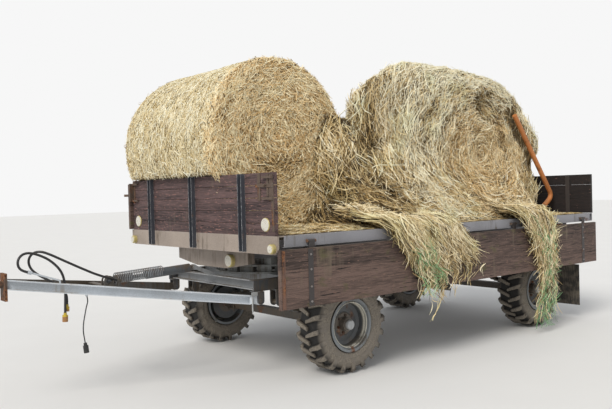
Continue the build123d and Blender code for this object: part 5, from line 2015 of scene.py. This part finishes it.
@dataclass(frozen=True)
class SprungStrut:
    """The coil spring over the drawbar strut's tube and rod."""

    upper_pin: Point = (0.0, -1.2945, 0.834)
    way: Point = (0.0, -0.99877, -0.049586)
    start: float = 0.285
    end: float = 0.672
    turns: int = 27
    coil: float = 0.0382
    wire: float = 0.0034

    def along(self, distance: float) -> Vector:
        """Gives the place that far down the strut from its upper pin."""
        return Vector(self.upper_pin) + Vector(self.way) * distance

    def build(self) -> None:
        """Winds the coil round the strut and gives it its finish."""
        turn = (math.radians(90), 0.0, 0.0)
        bpy.ops.mesh.primitive_circle_add(vertices=7, radius=self.wire, location=(self.coil, 0.0, 0.0),
                                          rotation=turn)
        piece = Bench.begin("strut_coil_spring")
        pitch = (self.end - self.start) / self.turns
        Bench.finish(piece, "SCREW", axis="Z", angle=2 * math.pi, screw_offset=pitch, iterations=self.turns,
                     steps=16, render_steps=16, use_merge_vertices=False)
        Bench.open(piece)
        bpy.ops.mesh.normals_make_consistent(inside=False)
        Bench.close()
        line = Vector(self.way).to_track_quat("Z", "Y").to_matrix().to_4x4()
        piece.data.transform(Matrix.Translation(self.along(self.start)) @ line)
        Bench.soften(piece, 60.0)
        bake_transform(piece)
        coil = PaintedSteel("spring_steel", (0.30, 0.32, 0.34), (0.5, 0.5, 0.49), (0.12, 0.075, 0.045), 0.4,
                            0.3, scale=12.0)
        clothe(piece, coil)
        LOG.info("%s bends from strut_upper to strut_lower", piece.name)


@dataclass(frozen=True)
class SmallFittings:
    """The strips, bolts and catches that are too small for nodes of their own."""

    cleat_places: tuple[float, ...] = (-1.0395, 2.6255)
    latch_irons: tuple[tuple[Point, Point], ...] = (
        ((0.880, -1.281, 1.345), (0.912, -1.2745, 1.540)), ((0.862, -1.287, 1.440), (1.058, -1.2805, 1.464)),
        ((0.985, -1.2815, 1.376), (1.008, -1.2745, 1.530)), ((1.040, -1.281, 1.130), (1.062, -1.2745, 1.470)))

    def build(self) -> None:
        """Builds each group of fittings."""
        self.end_strip()
        self.cleat_bolts()
        self.leg_catch()
        self.board_latch()

    def end_strip(self) -> None:
        """Nails a rusty strip down the near board's front end."""
        rust = PaintedSteel("orange_strip", (0.17, 0.085, 0.055), (0.30, 0.15, 0.08), (0.06, 0.038, 0.03),
                            0.5, 0.62, scale=9.0)
        strip = Bench.block("board_end_strip", (1.1555, -1.292, 0.606), (1.1605, -1.266, 1.003), 0.0012)
        for vertex in strip.data.vertices:
            vertex.co.y -= 0.006 * (1.003 - vertex.co.z)
        settle(strip, "left_board", rust)

    def cleat_bolts(self) -> None:
        """Puts four bolt heads on each cleat of the near board."""
        places = []
        bolt = Bench.turned("bolt", [(0.0085, 0.0), (0.0085, 0.003), (0.0065, 0.0065), (0.003, 0.0075)],
                            (0.0, 0.0, 0.0), (1.0, 0.0, 0.0), sides=12)
        for y in self.cleat_places:
            for z in (0.635, 0.74, 0.86, 0.965):
                places.append(Matrix.Translation((1.1597, y, z)))
        bolts = Bench.spread("cleat_bolts", bolt, places)
        grey = PaintedSteel("bolt_heads", (0.24, 0.22, 0.21), (0.4, 0.38, 0.36), rust_amount=0.35)
        settle(bolts, "left_board", grey)

    def board_latch(self) -> None:
        """Puts the flat irons of the open latch on the headboard's near end."""
        parts = [Bench.block("latch_iron", low, high, 0.0012) for low, high in self.latch_irons]
        pin = Bench.turned("latch_pin", [(0.006, 0.0), (0.008, 0.004), (0.008, 0.030), (0.005, 0.034)],
                           (0.985, -1.275, 1.452), (0.0, -1.0, 0.0), sides=12)
        settle(Bench.join("board_latch", parts + [pin]), "wagon", IRON)

    def leg_catch(self) -> None:
        """Puts the pale catch with its pin beside the near drawbar leg's rear end."""
        x = 0.652
        plate = Bench.block("catch_plate", (x, -1.196, 0.640), (x + 0.006, -1.118, 0.668), 0.0012)
        lugs = [
            Bench.block("catch_lug", (x, y, 0.610), (x + 0.006, y + 0.012, 0.646), 0.001)
            for y in (-1.196, -1.130)
        ]
        pin = Bench.turned("catch_pin", [(0.0045, 0.0), (0.0055, 0.004), (0.0055, 0.108), (0.0045, 0.112)],
                           (x + 0.004, -1.190, 0.632), (0.0, 0.0, -1.0), sides=12)
        steel = PaintedSteel("catch_steel", (0.40, 0.41, 0.41), (0.6, 0.6, 0.6), dirt_amount=0.3,
                             rust_amount=0.15)
        settle(Bench.join("leg_catch", [plate, *lugs, pin]), "bogie", steel)


@dataclass(frozen=True)
class Studio:
    """A plain pale floor, a pale surround and soft light."""

    floor: Colour = (0.80, 0.79, 0.77)
    surround: float = 0.93
    sky_strength: float = 0.62
    sun_strength: float = 1.95

    def build(self) -> None:
        """Lays the floor and sets the light."""
        bpy.ops.mesh.primitive_plane_add(size=120.0, location=(0.0, 0.0, 0.0))
        ground = Bench.begin("studio_floor")
        Bench.open(ground)
        bpy.ops.mesh.subdivide(number_cuts=6)
        Bench.close()
        ground.data.materials.append(StudioFloor("studio_floor_paint", self.floor).make())
        world = bpy.context.scene.world or bpy.data.worlds.new("studio")
        bpy.context.scene.world = world
        world.use_nodes = True
        world.node_tree.nodes.clear()
        sheet = NodeSheet(world.node_tree)
        path = sheet.add("ShaderNodeLightPath").outputs
        seen = sheet.sum("MAXIMUM", path["Is Camera Ray"],
                         sheet.sum("MAXIMUM", path["Is Glossy Ray"], path["Is Transmission Ray"]))
        light = sheet.add("ShaderNodeBackground", {0: (0.93, 0.96, 1.0), 1: self.sky_strength}).outputs[0]
        back = sheet.add("ShaderNodeBackground", {0: (self.surround,) * 3, 1: 1.0}).outputs[0]
        both = sheet.add("ShaderNodeMixShader", {0: seen, 1: light, 2: back}).outputs[0]
        sheet.add("ShaderNodeOutputWorld", {0: both})
        lamp = bpy.data.lights.new("soft_key", "SUN")
        lamp.energy = self.sun_strength
        lamp.angle = math.radians(26)
        lamp.color = (1.0, 0.965, 0.91)
        key = add_object("soft_key", lamp)
        key.rotation_euler = Vector((0.28, -0.66, 0.70)).to_track_quat("Z", "Y").to_euler()
        bpy.context.scene.view_settings.view_transform = "Standard"


@dataclass(frozen=True)
class StudioFloor(Finish):
    """Pale matt floor."""

    colour: Colour = (0.8, 0.8, 0.8)

    def fill(self, sheet: NodeSheet, shader: Node) -> None:
        """Adds this finish's own nodes.

        Args:
            sheet: The material's nodes.
            shader: The material's shader.
        """
        cloud = sheet.noise(sheet.place(), 1.5, 3.0)
        tint = sheet.mix(sheet.band(cloud, 0.3, 0.7), self.colour, tuple(0.985 * c for c in self.colour))
        self.coat(sheet, shader, tint, 0.95)
        self.relief(sheet, shader, cloud, 0.001, 0.1)


def main() -> None:
    """Builds the camera, the cords, the dressed wagon and its load, in that order."""
    logging.basicConfig(level=logging.INFO, format="%(name)s: %(message)s")
    make_weather()
    make_rust()
    make_edge_wear()
    make_timber()
    make_fibres()
    PhotoCamera().set_up()
    HoseSet().build()
    Wardrobe().build()
    FarmTyre().build()
    WheelHardware().build()
    SprungStrut().build()
    SmallFittings().build()
    RoundBale().build()
    LooseHeap().build()
    DeckLitter().build()
    for drape in DRAPES:
        drape.build()
    Studio().build()


if __name__ == "__main__":
    main()
